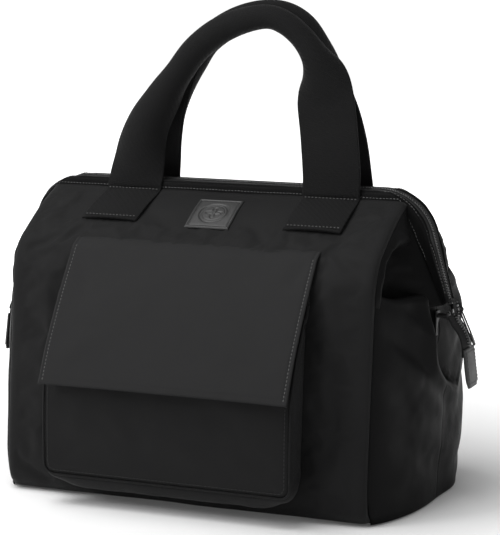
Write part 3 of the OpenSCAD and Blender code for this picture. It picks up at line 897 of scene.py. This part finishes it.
def zip_half_chain(half):
    sy = HALVES[half]
    soup = Soup()
    p, t, out = zip_frame(resample(zip_path(TEETH_START), 900))
    d = lengths(p)
    shift = 0.0 if half == "front" else PITCH / 2
    for at in np.arange(1.2 + shift, d[-1] - 1, PITCH):
        k = int(np.searchsorted(d, at))
        soup.add(tooth(p[k], t[k], out[k], sy), TOOTH)
    own(soup.make(half + "_teeth", TEETH_METAL), half + "_frame", half + "_zip_teeth")
    q, t, out = zip_frame(zip_path(TEETH_START - 1, 200))
    across = np.array([-13.5, -10, -6, -3.2, -2.6, -1.6])
    lift = np.array([0.1, 0.35, 0.3, 0.2, 0.75, 0.8])
    P = np.repeat(q[:, None], 6, axis=1)
    near_foot = smooth(q[:, 2], RUN_FOOT[1], RUN_FOOT[1] + 45)[:, None]
    P[..., 1] = -sy * across[None, :] * (0.5 + 0.5 * near_foot)
    P = P + lift[None, :, None] * out[:, None] * 0.8
    cloth(half + "_tape", P, TAPE, 0.7, half + "_frame", half + "_zip_tape", away=(0, 0, 150), offset=0)


for half in HALVES:
    zip_half_chain(half)


# ---- sliders, pullers and tails ------------------------------------------------------------------

def plate(name, outline, thick, mat, place, bevel=0.35):
    """A flat outline in [u, v] with thickness along w, put in place by a 4x4 matrix in mm."""
    n = len(outline)
    verts = [(u, v, w) for w in (-thick / 2, thick / 2) for u, v in outline]
    faces = [tuple(range(n - 1, -1, -1)), tuple(range(n, 2 * n))]
    faces += [(i, (i + 1) % n, n + (i + 1) % n, n + i) for i in range(n)]
    v = np.array([place @ Vector(p) for p in verts])
    ob = make(name, v, faces, mat, np.array([(p[0], p[1]) for p in verts]), shade=False)
    rounded(ob, bevel, 2, 30)
    return ob


def joined(name, parts):
    """Several mesh pieces with their modifiers applied, as one object."""
    dg = bpy.context.evaluated_depsgraph_get()
    soup, mats = Soup(), []
    index = []
    for o in parts:
        ev = o.evaluated_get(dg)
        me = ev.to_mesh()
        soup.add([tuple(v.co / MM) for v in me.vertices], [tuple(f.vertices) for f in me.polygons])
        mat = o.data.materials[0]
        if mat not in mats:
            mats.append(mat)
        index += [mats.index(mat)] * len(me.polygons)
        ev.to_mesh_clear()
    v = np.vstack(soup.verts)
    ob = make(name, v, soup.faces, mats, np.stack([v[:, 1], v[:, 2]], axis=1))
    ob.data.polygons.foreach_set("material_index", index)
    for o in parts:
        bpy.data.objects.remove(o)
    rounded(ob, 0.01, 1, 60)
    ob.modifiers.clear()
    shade_by_angle(ob)
    return ob


def shade_by_angle(ob, degrees=38):
    ob.data.set_sharp_from_angle(angle=math.radians(degrees))


def axes_matrix(axes, place):
    """A 4x4 matrix with these axes as its columns."""
    m = Matrix(axes).transposed().to_4x4()
    m.translation = place
    return m


def run_matrix(s):
    """Slider axes on the right or left run: x out of the bag, y along the row's Y, z up the run."""
    out = Vector((s * math.cos(SLIDER_TILT), 0, math.sin(SLIDER_TILT)))
    along = Vector((-s * math.sin(SLIDER_TILT), 0, math.cos(SLIDER_TILT)))
    return axes_matrix((out, Vector((0, 1, 0)), along), Vector((s * SLIDER_FOOT[0], 0, SLIDER_FOOT[1])))


def rounded_rect(w, h, r, n=6):
    pts = []
    for cx, cy, a0 in ((w / 2 - r, h / 2 - r, 0), (-w / 2 + r, h / 2 - r, 90), (-w / 2 + r, -h / 2 + r, 180),
                       (w / 2 - r, -h / 2 + r, 270)):
        for k in range(n + 1):
            a = math.radians(a0 + 90 * k / n)
            pts.append((cx + r * math.cos(a), cy + r * math.sin(a)))
    return pts


SLIDER_PLATE = [(-2.9, -6), (2.9, -6), (3.6, -4.5), (3.5, -1.5), (4.5, 1.5), (4.6, 4.5), (3.4, 6), (1.1, 5.2),
                (0, 6), (-1.1, 5.2), (-3.4, 6), (-4.6, 4.5), (-4.5, 1.5), (-3.5, -1.5), (-3.6, -4.5)]


def zip_slider(side):
    s = SIDES[side]
    m = run_matrix(s)
    turn = Matrix(((0, 0, 1, 0), (1, 0, 0, 0), (0, 1, 0, 0), (0, 0, 0, 1)))
    plates = [
        (SLIDER_PLATE, 1.1, (2.2, 0, 0), 0.35), (SLIDER_PLATE, 1.1, (-2.2, 0, 0), 0.35),
        (rounded_rect(0.7, 4.5, 0.3), 4.6, (0, 0, 2.6), 0.1),
        (rounded_rect(0.8, 8, 0.35), 1.2, (1.3, -4, 0.5), 0.2),
        (rounded_rect(0.8, 8, 0.35), 1.2, (1.3, 4, 0.5), 0.2),
    ]
    parts = [plate(f"part_{k}", outline, thick, DARK_METAL, m @ Matrix.Translation(place) @ turn, bevel)
             for k, (outline, thick, place, bevel) in enumerate(plates)]
    half_bridge = [(2.6, 0, 4.4), (4.6, 0, 4.2), (5.8, 0, 2.4)]
    bridge = half_bridge + [(6.0, 0, 0)] + [(x, y, -z) for x, y, z in half_bridge[::-1]]
    bridge = curve([tuple(m @ Vector(p)) for p in bridge], 24)
    parts.append(tube("part_bridge", bridge, 0.9, DARK_METAL, 10, 0.7, (0, 1, 0)))
    ob = joined(f"zip_slider_{side}", parts)
    own(ob, f"zip_{side}", f"slider_{side}")

    pin = m @ Vector((4.6, 0, 0))
    lean = math.radians(24)
    down = Vector((s * math.sin(lean), 0, -math.cos(lean)))
    face = Vector((s * math.cos(lean), 0, math.sin(lean)))
    pm = axes_matrix((Vector((0, 1, 0)), down, face), pin)
    ring = [(2.4 * math.cos(a), 2.4 * math.sin(a)) for a in np.linspace(0, 2 * math.pi, 25)[:-1]]
    loop = [pm @ Vector((0, 0.6 + v * 0.9, u)) for u, v in ring]
    half_pull = [(1.9, 2.2), (2.4, 6), (2.5, 24), (1.8, 30)]
    outline = [(-1.9, 2.2), (0, 1.3)] + half_pull + [(0, 31.6)] + [(-x, y) for x, y in half_pull[::-1]]
    path = np.array([tuple(pm @ Vector((x, y, 0))) for x, y in outline])
    wire = tube("part_pull", curve(path, 70), 0.85, BRIGHT_METAL, 8, 0.8, tuple(face))
    bar_place = pm @ Matrix.Translation((0, 26, 0))
    bar = plate("part_bar", rounded_rect(4.2, 9, 1.2), 1.5, BRIGHT_METAL, bar_place, 0.35)
    eye_path = curve([tuple(v) for v in loop] + [tuple(loop[0])], 30)
    eye = tube("part_eye", eye_path, 0.7, BRIGHT_METAL, 8, 1, (0, 1, 0))
    ob = joined(f"zip_puller_{side}", [wire, bar, eye])
    own(ob, f"pull_{side}", f"puller_{side}")


def zip_tail(side):
    line = curve([(196.6, 157.5), (200.6, 150.4), (205.4, 144), (208.6, 136), (209.6, 124)], 40)
    p = upright(line)
    t = tangents(p)
    out = side_of(t)
    y = np.linspace(-13, 13, 15)
    cup = -1.6 * (y / 13) ** 2
    P = p[:, None] + np.stack([0 * y, y, 0 * y], axis=1)[None] + cup[None, :, None] * out[:, None]
    cloth(f"tail_tape_cloth_{side}", on_side(side, P), TAPE, 0.7, f"tail_{side}", f"tail_tape_{side}",
          away=(0, 0, 140), offset=0)
    soup = Soup()
    q = resample(p, 400)
    d = np.linspace(0, 1, 400) * np.linalg.norm(np.diff(p, axis=0), axis=1).sum()
    tq = tangents(q)
    oq = side_of(tq)
    for sy in (-1, 1):
        for at in np.arange(1 + (0.6 if sy > 0 else 0) * PITCH, d[-1] - 6, PITCH):
            k = int(np.searchsorted(d, at))
            v = np.array(tooth(q[k] + oq[k] * 0.5, tq[k], oq[k], sy))
            soup.add(on_side(side, v), TOOTH)
    own(soup.make(f"tail_teeth_{side}", TEETH_METAL), f"tail_{side}")

    end = curve([(209.3, 130.5), (210.4, 120), (211.6, 110), (213.2, 98.5)], 30)
    pe = upright(end)
    te = tangents(pe)
    oe = side_of(te)
    width = 13.2 - 2.4 * smooth(np.linspace(0, 1, 30), 0.8, 1.0)
    ring = []
    m = 28
    for i in range(30):
        a = np.arange(m) * 2 * math.pi / m
        squeeze = 0.35 + 0.65 * math.sin(math.pi * min(1, max(0, (i + 1) / 31))) ** 0.35
        ring.append([pe[i] + arr(0, 1, 0) * width[i] * np.sign(math.cos(b)) * abs(math.cos(b)) ** 0.35
                     + oe[i] * 1.9 * squeeze * np.sign(math.sin(b)) * abs(math.sin(b)) ** 0.8 for b in a])
    ob = grid(f"tail_tab_leather_{side}", on_side(side, np.array(ring)), LEATHER_DARK, wrap=True, caps=True)
    own(ob, f"tail_{side}", f"tail_tab_{side}")
    threads = Soup()
    rows = [(pe[2:-3] + arr(0, y0, 0) + oe[2:-3] * 1.75, oe[2:-3]) for y0 in (-10.4, 10.4)]
    for i in (3, -4):
        path = pe[i] + np.stack([np.zeros(12), np.linspace(-10, 10, 12), np.zeros(12)], axis=1) + oe[i] * 1.8
        rows.append((path, np.repeat(oe[i][None], 12, axis=0)))
    for path, up in rows:
        stitches(threads, on_side(side, path), on_side(side, up), 3.0, 2.1, 0.3)
    own(threads.make(f"tail_threads_{side}", THREAD), f"tail_{side}")


for side in SIDES:
    zip_slider(side)
    zip_tail(side)
    # Painted shade: the steel pivot pins take the dark tab leather, darker and duller than their plating, so
    # they show no glint.
    put_on_node("pivot_pin_" + side, LEATHER_DARK, 0.2)


# ---- pocket --------------------------------------------------------------------------------------

POCKET_LINE = curve([(POCKET_Y + 6, 20), (POCKET_Y + 1.5, 28), (POCKET_Y, 44), (POCKET_Y + 2, 98),
                     (POCKET_Y + 12, 132), (POCKET_Y + 26, 156), (POCKET_Y + 34, 170)], 200)


def pocket_y(z):
    return np.interp(z, POCKET_LINE[:, 1], POCKET_LINE[:, 0])


def u_path(hw, zb, r, z_top, n):
    """Down the left side, round the lower corners and up the right side, as n points in [x, z]."""
    pts = [(-hw, z_top)]
    for cx, a0 in ((-hw + r, 180), (hw - r, 270)):
        for k in range(9):
            a = math.radians(a0 + 90 * k / 8)
            pts.append((cx + r * math.cos(a), zb + r + r * math.sin(a)))
    pts.append((hw, z_top))
    return resample(pts, n)


FACE_HW = POCKET_HW + 2.0
FACE_ZB = 27.5
FACE_R = 8.0
POCKET_TOP = 168.0


def pocket():
    n = 260
    face_edge = u_path(FACE_HW, FACE_ZB, FACE_R, POCKET_TOP, n)
    wall_edge = u_path(POCKET_HW + 0.5, 15, 24, 204, n)
    a = np.stack([face_edge[:, 0], pocket_y(face_edge[:, 1]) + 1.4, face_edge[:, 1]], axis=1)
    dw = np.interp(wall_edge[:, 1], PROFILE[:260, 1], PROFILE_D[:260])
    wall = shell_point(wall_edge[:, 0], dw, SEEDS["front"])
    tan = tangents(face_edge)
    out = np.stack([tan[:, 1], np.zeros(n), -tan[:, 0]], axis=1)
    out *= np.sign((out * (a - arr(0, 0, 120)) * arr(1, 0, 1)).sum(axis=1))[:, None]
    down = np.clip(-out[:, 2], 0, 1)
    q = np.linspace(0, 1, 22)
    P = a[:, None] + q[None, :, None] * (wall - a)[:, None]
    swell = (2.4 + 5.5 * down)[:, None] * np.sin(np.pi * q ** 0.7)[None, :] ** 0.8
    swell = swell + 0.8 * fbm(P[..., 0], P[..., 2], 21.0, 22.0, 2) * np.sin(np.pi * q)[None, :]
    P = P + swell[..., None] * out[:, None]
    P[..., 1] += (3.0 * down)[:, None] * np.sin(np.pi * q)[None, :] * -0.6
    cloth("pocket_band", P, SHELL, 1.4, "front_wall", "pocket_side_left", "pocket_side_right", "pocket_floor",
          away=(0, -115, 110))

    rows, cols = 84, 96
    face = np.zeros((rows, cols, 3))
    for i, z in enumerate(np.linspace(FACE_ZB, POCKET_TOP, rows)):
        h = z - FACE_ZB
        cut = FACE_R - math.sqrt(max(0, FACE_R ** 2 - (FACE_R - min(h, FACE_R)) ** 2))
        w = FACE_HW - cut
        x = np.sin(np.linspace(-1, 1, cols) * math.pi / 2 * 0.86) / math.sin(math.pi / 2 * 0.86) * w
        edge = np.minimum(w - np.abs(x) + 0.001, h + 0.001)
        fall = 1.6 * np.exp(-edge / 2.2)
        soft = 1.5 * fbm(x, z, 27.0, 60.0, 3) * smooth(edge, 2, 26)
        folds = creases(x, np.full_like(x, z), [
            (-96, 40, -62, 62, 7, -1.3), (96, 44, 64, 66, 8, -1.2), (-30, 60, 40, 54, 12, 0.9),
            (20, 90, 70, 84, 10, -0.8), (-88, 96, -50, 104, 10, 0.9)])
        face[i, :, 0] = x
        face[i, :, 1] = pocket_y(z) + fall - 2.2 * smooth(edge, 0, 40) - soft - folds
        face[i, :, 2] = z
    front = cloth("pocket_face", face, SHELL, 1.6, "front_wall", "pocket_front", away=(0, -60, 100))

    cord = a + out * 0.9 + arr(0, -0.6, 0)
    own(tube("pocket_piping", resample(cord, 300), 0.95, SHELL, 8, 1.0, (0, -1, 0.01)), "front_wall")
    hem = np.stack([face[-1, :, 0], face[-1, :, 1] - 0.2, face[-1, :, 2]], axis=1)
    own(tube("pocket_hem", hem[1:-1], 1.5, SHELL, 8, 0.8, (0, 0, 1)), "front_wall")

    threads = Soup()
    inner = u_path(FACE_HW - 3.2, FACE_ZB + 3.2, FACE_R - 2, POCKET_TOP - 3, 260)
    path = np.stack([inner[:, 0], pocket_y(inner[:, 1]) - 0.35, inner[:, 1]], axis=1)
    stitches(threads, path, (0, -1, 0), 3.3, 2.3, 0.2, 0.1)
    for sx, edge, within in ((-1, 0, 6), (1, -1, -7)):
        top = P[edge] + (P[within] - P[edge]) * 0.02
        stitches(threads, top + arr(sx * 0.4, 0, -2.0), (sx, 0, 0), 2.8, 2.0, 0.28, 0.3)
    own(threads.make("pocket_threads", THREAD_DARK), "front_wall")
    put_on_node("pocket_magnet", DARK_METAL, 0.3)


pocket()


# ---- flap ----------------------------------------------------------------------------------------

FLAP_ROOT = arr(-HALF + 15.6, SHOULDER_Z - 1.9)
FLAP_DIR = unit(arr(-71, -110))
FLAP_SHIFT = 2.5
FLAP_OUT = arr(FLAP_DIR[1], -FLAP_DIR[0])


def flap_grid(lift=0.0, w=FLAP_HW, a1=FLAP_LEN, nx=90, na=72):
    lead = [FLAP_ROOT + arr(7.5, 3.4), FLAP_ROOT + arr(2.0, 2.6), FLAP_ROOT + 5 * FLAP_DIR + 3.6 * FLAP_OUT]
    line = curve(lead + [FLAP_ROOT + a * FLAP_DIR + (3.4 + 2.6 * math.sin(math.pi * a / a1)) * FLAP_OUT
                         for a in np.linspace(16, a1, 9)], na)
    t = tangents(line)
    n = np.stack([t[:, 1], -t[:, 0]], axis=1)
    x = np.concatenate([np.linspace(-w, -w + 6, 8)[:-1], np.linspace(-w + 6, w - 6, nx - 14),
                        np.linspace(w - 6, w, 8)[1:]])
    a = np.linspace(0, a1, na)
    X, A = np.meshgrid(x, a)
    edge = np.minimum(np.minimum(w - np.abs(X), a1 - A), 60)
    h = lift + 0.9 * fbm(X, A, 33.0, 55.0, 3) * smooth(edge, 2, 25)
    h += -0.55 * np.exp(-((edge - 3.4) / 1.1) ** 2) - 0.7 * np.exp(-edge / 0.7)
    h += 2.0 * smooth(A, 90, a1) * (np.abs(X) / w) ** 3 * -1.0
    h += creases(X, A, [(-98, 110, -60, 84, 10, 0.8), (96, 104, 62, 72, 10, -0.8), (-20, 30, 30, 26, 14, 0.6),
                        (-100, 22, -82, 52, 7, -0.8), (100, 14, 86, 44, 6, -0.9)])
    Y = line[:, 0][:, None] + h * n[:, 0][:, None]
    Z = line[:, 1][:, None] + h * n[:, 1][:, None]
    return np.stack([X + FLAP_SHIFT, Y, Z], axis=2)


def flap():
    P = flap_grid()
    ob = grid("flap_cloth", P, FLAP, away=(0, 0, 60))
    thicken(ob, 1.9)
    hinge_a = np.array([0, FLAP_ROOT[0], FLAP_ROOT[1]])
    start = tuple((hinge_a + arr(0, 3, 1.5)) * MM)
    end = tuple((hinge_a + arr(0, 9 * FLAP_DIR[0], 9 * FLAP_DIR[1])) * MM)
    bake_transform(ob, "front_wall", "flap", start, end)
    own(ob, "flap", "flap_outer")
    Q = flap_grid(-2.1, FLAP_HW - 2.2, FLAP_LEN - 2, 50, 50)
    ob = cloth("flap_backing", Q[4:], LINING, 0.5, "flap", "flap_lining", away=(0, -300, 200))
    threads = Soup()
    n = normals_of(P)
    if (n[30, 40] * arr(0, FLAP_OUT[0], FLAP_OUT[1])).sum() < 0:
        n = -n
    col = 4
    for c in (col, -1 - col):
        stitches(threads, P[7:-2, c], n[7:-2, c], 3.1, 1.9, 0.4, 0.2)
    row = P[-1] - 3.4 * arr(0, FLAP_DIR[0], FLAP_DIR[1])
    stitches(threads, row[col:-col], n[-3, col:-col], 3.1, 1.9, 0.4, 0.1)
    own(threads.make("flap_threads", THREAD), "flap")
    put_on_node("flap_magnet", DARK_METAL, 0.3)


flap()


# ---- handles and their sewn feet -----------------------------------------------------------------

FOOT_Z = MOUTH_Z + 2


# Centre line of the webbing in [x, z] and half its width, from the left foot over the top to the right foot.
HANDLE_LINE = [(-82, 254, 25), (-80.5, 270, 23.5), (-78.5, 288, 21), (-72, 307, 18), (-58, 329, 14),
               (-45, 346, 11), (-29, 366, 10.8), (-8, 382, 10.6), (15, 391.5, 9.8), (37, 395, 9),
               (53, 390, 8.8), (67, 379, 9), (78, 364, 11), (84, 349, 19), (87, 333, 24), (90, 313, 25.6),
               (93, 293, 25.6), (95.5, 270, 25), (96, 254, 25)]
REAR_HANDLE_LINE = [(-81, 254, 25), (-76, 278, 24), (-69, 300, 21), (-60, 321, 17), (-50, 339, 13.5),
                    (-38, 356, 11), (-26, 373, 10.8), (-6, 387, 10.6), (14, 395.5, 9.8), (34, 398.5, 9),
                    (50, 395, 8.8), (63, 386, 9), (73, 371, 10), (80, 354, 14), (84, 334, 20), (88, 310, 24),
                    (92, 280, 25), (95, 254, 25)]
TAB_FOOT = {-1: (-82.0, -87.0), 1: (96.0, 94.0)}
TAB_LEN = 46.0
TAB_TOP = PROFILE_LEN - 1.0


def tab_line(sx, n, lift):
    """Up the sewn foot on the roof, from its lower end to the frame."""
    top, low = TAB_FOOT[sx]
    d = np.linspace(TAB_TOP - TAB_LEN, TAB_TOP, n)
    x = np.linspace(low, top, n)
    y, z = on_profile(d, 0.35 * shell_out(x, d, SEEDS["front"]) + lift)
    return np.stack([x, y, z], axis=1)


def handle_path(half, n):
    arch = np.array(HANDLE_LINE if half == "front" else REAR_HANDLE_LINE, float)
    y = -18.2 + 7.5 * smooth(arch[:, 1], 256, 330)
    rise = np.stack([arch[:, 0], y, arch[:, 1]], axis=1)
    left, right = tab_line(-1, 12, 1.6), tab_line(1, 12, 1.6)[::-1]
    lead = arr(left[-1] + (rise[0] - left[-1]) * 0.6 + arr(0, -0.8, -0.6))
    tail = arr(right[0] + (rise[-1] - right[0]) * 0.6 + arr(0, -0.8, -0.6))
    path = np.vstack([left, lead, rise[1:-1], tail, right])
    widths = np.concatenate([np.full(13, 25.0), arch[1:-1, 2], np.full(13, 25.0)])
    out = curve(np.column_stack([path, widths]), n)
    return out[:, :3], out[:, 3]


def handle(half):
    path, hw = handle_path(half, 260)
    t = tangents(path)
    w = -side_of(t)
    foot = path[:, 2] < FOOT_Z + 6
    w[foot] = np.where(path[foot, :1] < 0, 1, -1) * arr(1, 0, 0)
    for _ in range(10):
        w[1:-1] = unit(w[:-2] + 2 * w[1:-1] + w[2:])
    depth = unit(np.cross(t, w))
    c = np.linspace(-1, 1, 41)
    fold = np.linspace(0.06, 2.8, 200)
    seen = STRAP_W / 2 * np.where(fold < math.pi / 2, np.sin(fold), 1) / fold
    phi = np.interp(-np.minimum(hw, 24.9), -seen, fold)
    for _ in range(8):
        phi[1:-1] = (phi[:-2] + 2 * phi[1:-1] + phi[2:]) / 4
    r = (STRAP_W / 2) / phi
    ang = phi[:, None] * c[None, :]
    rise = 0.5 * r * (1 - np.cos(phi)) * smooth(path[:, 2], FOOT_Z, FOOT_Z + 60)
    wave = 0.6 * fbm(path[:, :1] + 3 * c[None, :], path[:, 2:] + 0 * c[None, :], 71.0, 30.0, 2)
    sunk = r[:, None] * (1 - np.cos(ang)) - rise[:, None] + wave
    P = path[:, None] + (r[:, None] * np.sin(ang))[..., None] * w[:, None] + sunk[..., None] * depth[:, None]
    P = facing(half, P)
    ob = grid(half + "_handle_webbing", P, WEBBING)
    thicken(ob, 1.8, offset=0)
    start, end = facing(half, arr(0, -19.5, MOUTH_Z - 1)), facing(half, arr(0, -17, MOUTH_Z + 9))
    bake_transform(ob, half + "_top", half + "_grip", tuple(start * MM), tuple(end * MM))
    own(ob, half + "_grip", half + "_handle", half + "_tab_left", half + "_tab_right")
    threads = Soup()
    inner = STRAP_W / 2 - 2.5
    cross = np.linspace(-inner, inner, 30)[:, None] * arr(1, 0, 0)
    n = shell_normal(np.linspace(TAB_TOP - TAB_LEN, TAB_TOP, 30))
    for sx in (-1, 1):
        line = tab_line(sx, 30, 2.6)
        for k in (2, -3):
            up = np.repeat(n[k][None], 30, axis=0)
            stitches(threads, facing(half, line[k] + cross), facing(half, up), 3.1, 1.7, 0.42, 0.2)
    own(threads.make(half + "_tab_threads", THREAD), half + "_top")


for half in HALVES:
    handle(half)


# ---- leather patch -------------------------------------------------------------------------------

PATCH_X = 3.0


def patch():
    w, n = 20.0, 84
    u = np.linspace(-w, w, n)
    U, V = np.meshgrid(u, u, indexing="ij")
    d_mid = PROFILE_LEN - 31
    wall = shell_out(0.0, d_mid, SEEDS["front"])
    ex = w - np.abs(U)
    ey = w - np.abs(V)
    edge = np.minimum(ex, ey)
    h = 1.9 - 1.2 * np.exp(-edge / 0.6)
    h += 0.45 * np.exp(-((edge - 1.3) / 0.8) ** 2) - 0.35 * np.exp(-((edge - 3.0) / 0.6) ** 2)
    r = np.hypot(U, V)
    h -= 0.9 * np.exp(-((r - 12.0) / 0.9) ** 2) + 0.5 * np.exp(-((r - 9.6) / 0.5) ** 2)
    petals = np.cos(4 * np.arctan2(V, U))
    h -= 0.8 * np.exp(-((r - 4.6 - 1.9 * petals) / 0.85) ** 2)
    y, z = on_profile(d_mid + V, wall + h)
    P = np.stack([U + PATCH_X, y, z], axis=2)
    cloth("leather_patch", P, LEATHER, 1.3, "front_top", "patch", "patch_mark", away=(0, 0, 100))
    threads = Soup()
    k = w - 3.0
    loop = resample([(-k, -k), (k, -k), (k, k), (-k, k), (-k, -k)], 120)
    y, z = on_profile(d_mid + loop[:, 1], 2.0 + wall)
    path = np.stack([loop[:, 0] + PATCH_X, y, z], axis=1)
    stitches(threads, path, shell_normal(d_mid + loop[:, 1]), 2.4, 1.6, 0.2, -0.1)
    own(threads.make("patch_threads", THREAD_DARK), "front_top")


patch()


# ---- base and inside -----------------------------------------------------------------------------

def base_sheet(name, inset, z, mat, thick, body, node, curl=0.0):
    t = np.linspace(-1, 1, 61)
    s = np.linspace(-1, 1, 91)
    T, S = np.meshgrid(t, s, indexing="ij")
    hd = HALF - 1 - inset
    Y = hd * T
    X = S * (HW - inset + BULGE * (1 - T ** 2))
    edge = np.minimum(hd - np.abs(Y), (HW - inset + BULGE * (1 - T ** 2)) - np.abs(X))
    Z = z + curl * np.exp(-edge / 3.0) + 0.25 * fbm(X, Y, 50.0, 45.0, 2) * smooth(edge, 0, 20)
    cloth(name, np.stack([X, Y, np.maximum(Z, thick)], axis=2), mat, thick, body, node, away=(0, 0, 200))


base_sheet("base_cloth", 0.5, 1.6, SHELL, 1.4, "base", "base_panel", 1.2)
base_sheet("base_lining_cloth", 8, 6.2, LINING, 0.6, "base", "base_lining")
put_on_node("base_board", BOARD, 0.4)


def inner_pocket():
    rows = curve([(HALF - 3.4, 41), (HALF - 9, 46), (HALF - 11.5, 90), (HALF - 12.4, 130)], 50)
    x = np.linspace(-80, 80, 60)
    X, _ = np.meshgrid(x, rows[:, 0])
    sag = 1.4 * fbm(X, rows[:, 1][:, None] + 0 * X, 61.0, 30.0, 3)
    edge = np.exp(-(80 - np.abs(X)) / 6)
    Y = rows[:, 0][:, None] + 0 * X - sag * (1 - edge) + 5.0 * edge
    Z = rows[:, 1][:, None] + 0 * X
    cloth("slip_pocket_cloth", np.stack([X, Y, Z], axis=2), LINING, 0.8, "rear_wall", "inner_pocket",
          away=(0, 300, 90))
    top = np.stack([x, Y[-1] - 0.3, Z[-1]], axis=1)
    own(tube("slip_pocket_hem", top, 1.0, LINING, 8, 1.0, (0, 0, 1)), "rear_wall")


inner_pocket()


# ---- floor, light and camera ---------------------------------------------------------------------

def stage():
    n = Nodes("pale_glowing_floor")
    grain = n.noise(n.coords("Object"), 30.0, 3.0, 0.5)
    n.set(Base_Color=n.mix(grain, (0.93, 0.93, 0.93, 1), (0.96, 0.96, 0.96, 1)), Roughness=0.8)
    # Painted light: the floor glows though it is no lamp, faintly within a quarter metre of the bag and
    # rising to almost full strength a metre out, so the far floor reads white.
    reach = n.new("VectorMath", operation="LENGTH")
    n.put(n.coords("Object"), reach.inputs[0])
    n.bsdf.inputs["Emission Color"].default_value = (1, 1, 1, 1)
    n.put(n.span(reach.outputs["Value"], 0.25, 0.95, 0.05, 0.95), n.bsdf.inputs["Emission Strength"])
    s = 4000.0
    corners = arr((-s, -s, 0), (s, -s, 0), (s, s, 0), (-s, s, 0))
    ob = make("floor", corners, [(0, 1, 2, 3)], n.mat, shade=False)


def area_light(name, place, aim, size, power):
    light = bpy.data.lights.new(name, "AREA")
    light.shape = "RECTANGLE"
    light.size, light.size_y = size
    light.energy = power
    ob = bpy.data.objects.new(name, light)
    ob.location = place
    ob.rotation_euler = (Vector(aim) - Vector(place)).to_track_quat("-Z", "Y").to_euler()
    bpy.context.scene.collection.objects.link(ob)


WALL_SIDE = (-0.387, 0.922, 0.0)
WALL_FADE = (0.75, 0.92, 0.25, 1.05)


def lights():
    """Two soft area lights, and a world that is bright only on the wall side, behind the bag."""
    world = bpy.data.worlds.new("white_room")
    world.use_nodes = True
    tree = world.node_tree
    bg = tree.nodes["Background"]
    bg.inputs["Color"].default_value = (1, 1, 1, 1)
    coord = tree.nodes.new("ShaderNodeTexCoord")
    facing_back = tree.nodes.new("ShaderNodeVectorMath")
    facing_back.operation = "DOT_PRODUCT"
    facing_back.inputs[1].default_value = WALL_SIDE
    fade = tree.nodes.new("ShaderNodeMapRange")
    fade.interpolation_type = "SMOOTHSTEP"
    for k, v in enumerate(WALL_FADE):
        fade.inputs[k + 1].default_value = v
    tree.links.new(coord.outputs["Generated"], facing_back.inputs[0])
    tree.links.new(facing_back.outputs["Value"], fade.inputs[0])
    tree.links.new(fade.outputs[0], bg.inputs["Strength"])
    bpy.context.scene.world = world
    area_light("overhead", (-0.6, -0.7, 2.1), (0, 0, 0), (1.8, 1.8), 48)
    area_light("key", (-1.3, -1.5, 1.2), (0, -0.05, 0.24), (0.5, 0.5), 10)
    view = bpy.context.scene.view_settings
    view.view_transform = "Standard"
    view.look = "None"


def camera():
    cam = bpy.data.cameras.new("photo_view")
    cam.lens = 139.45
    cam.sensor_width = 36
    ob = bpy.data.objects.new("photo_view", cam)
    ob.location = (0.68423, -1.59167, 0.46474)
    right = Vector((0.92220, 0.38671, 0))
    up = Vector((-0.06207, 0.14801, 0.98704))
    back = Vector((0.38170, -0.91024, 0.16050))
    ob.matrix_world = axes_matrix((right, up, back), ob.location)
    cam.clip_end = 50
    bpy.context.scene.collection.objects.link(ob)
    bpy.context.scene.camera = ob


stage()
lights()
camera()
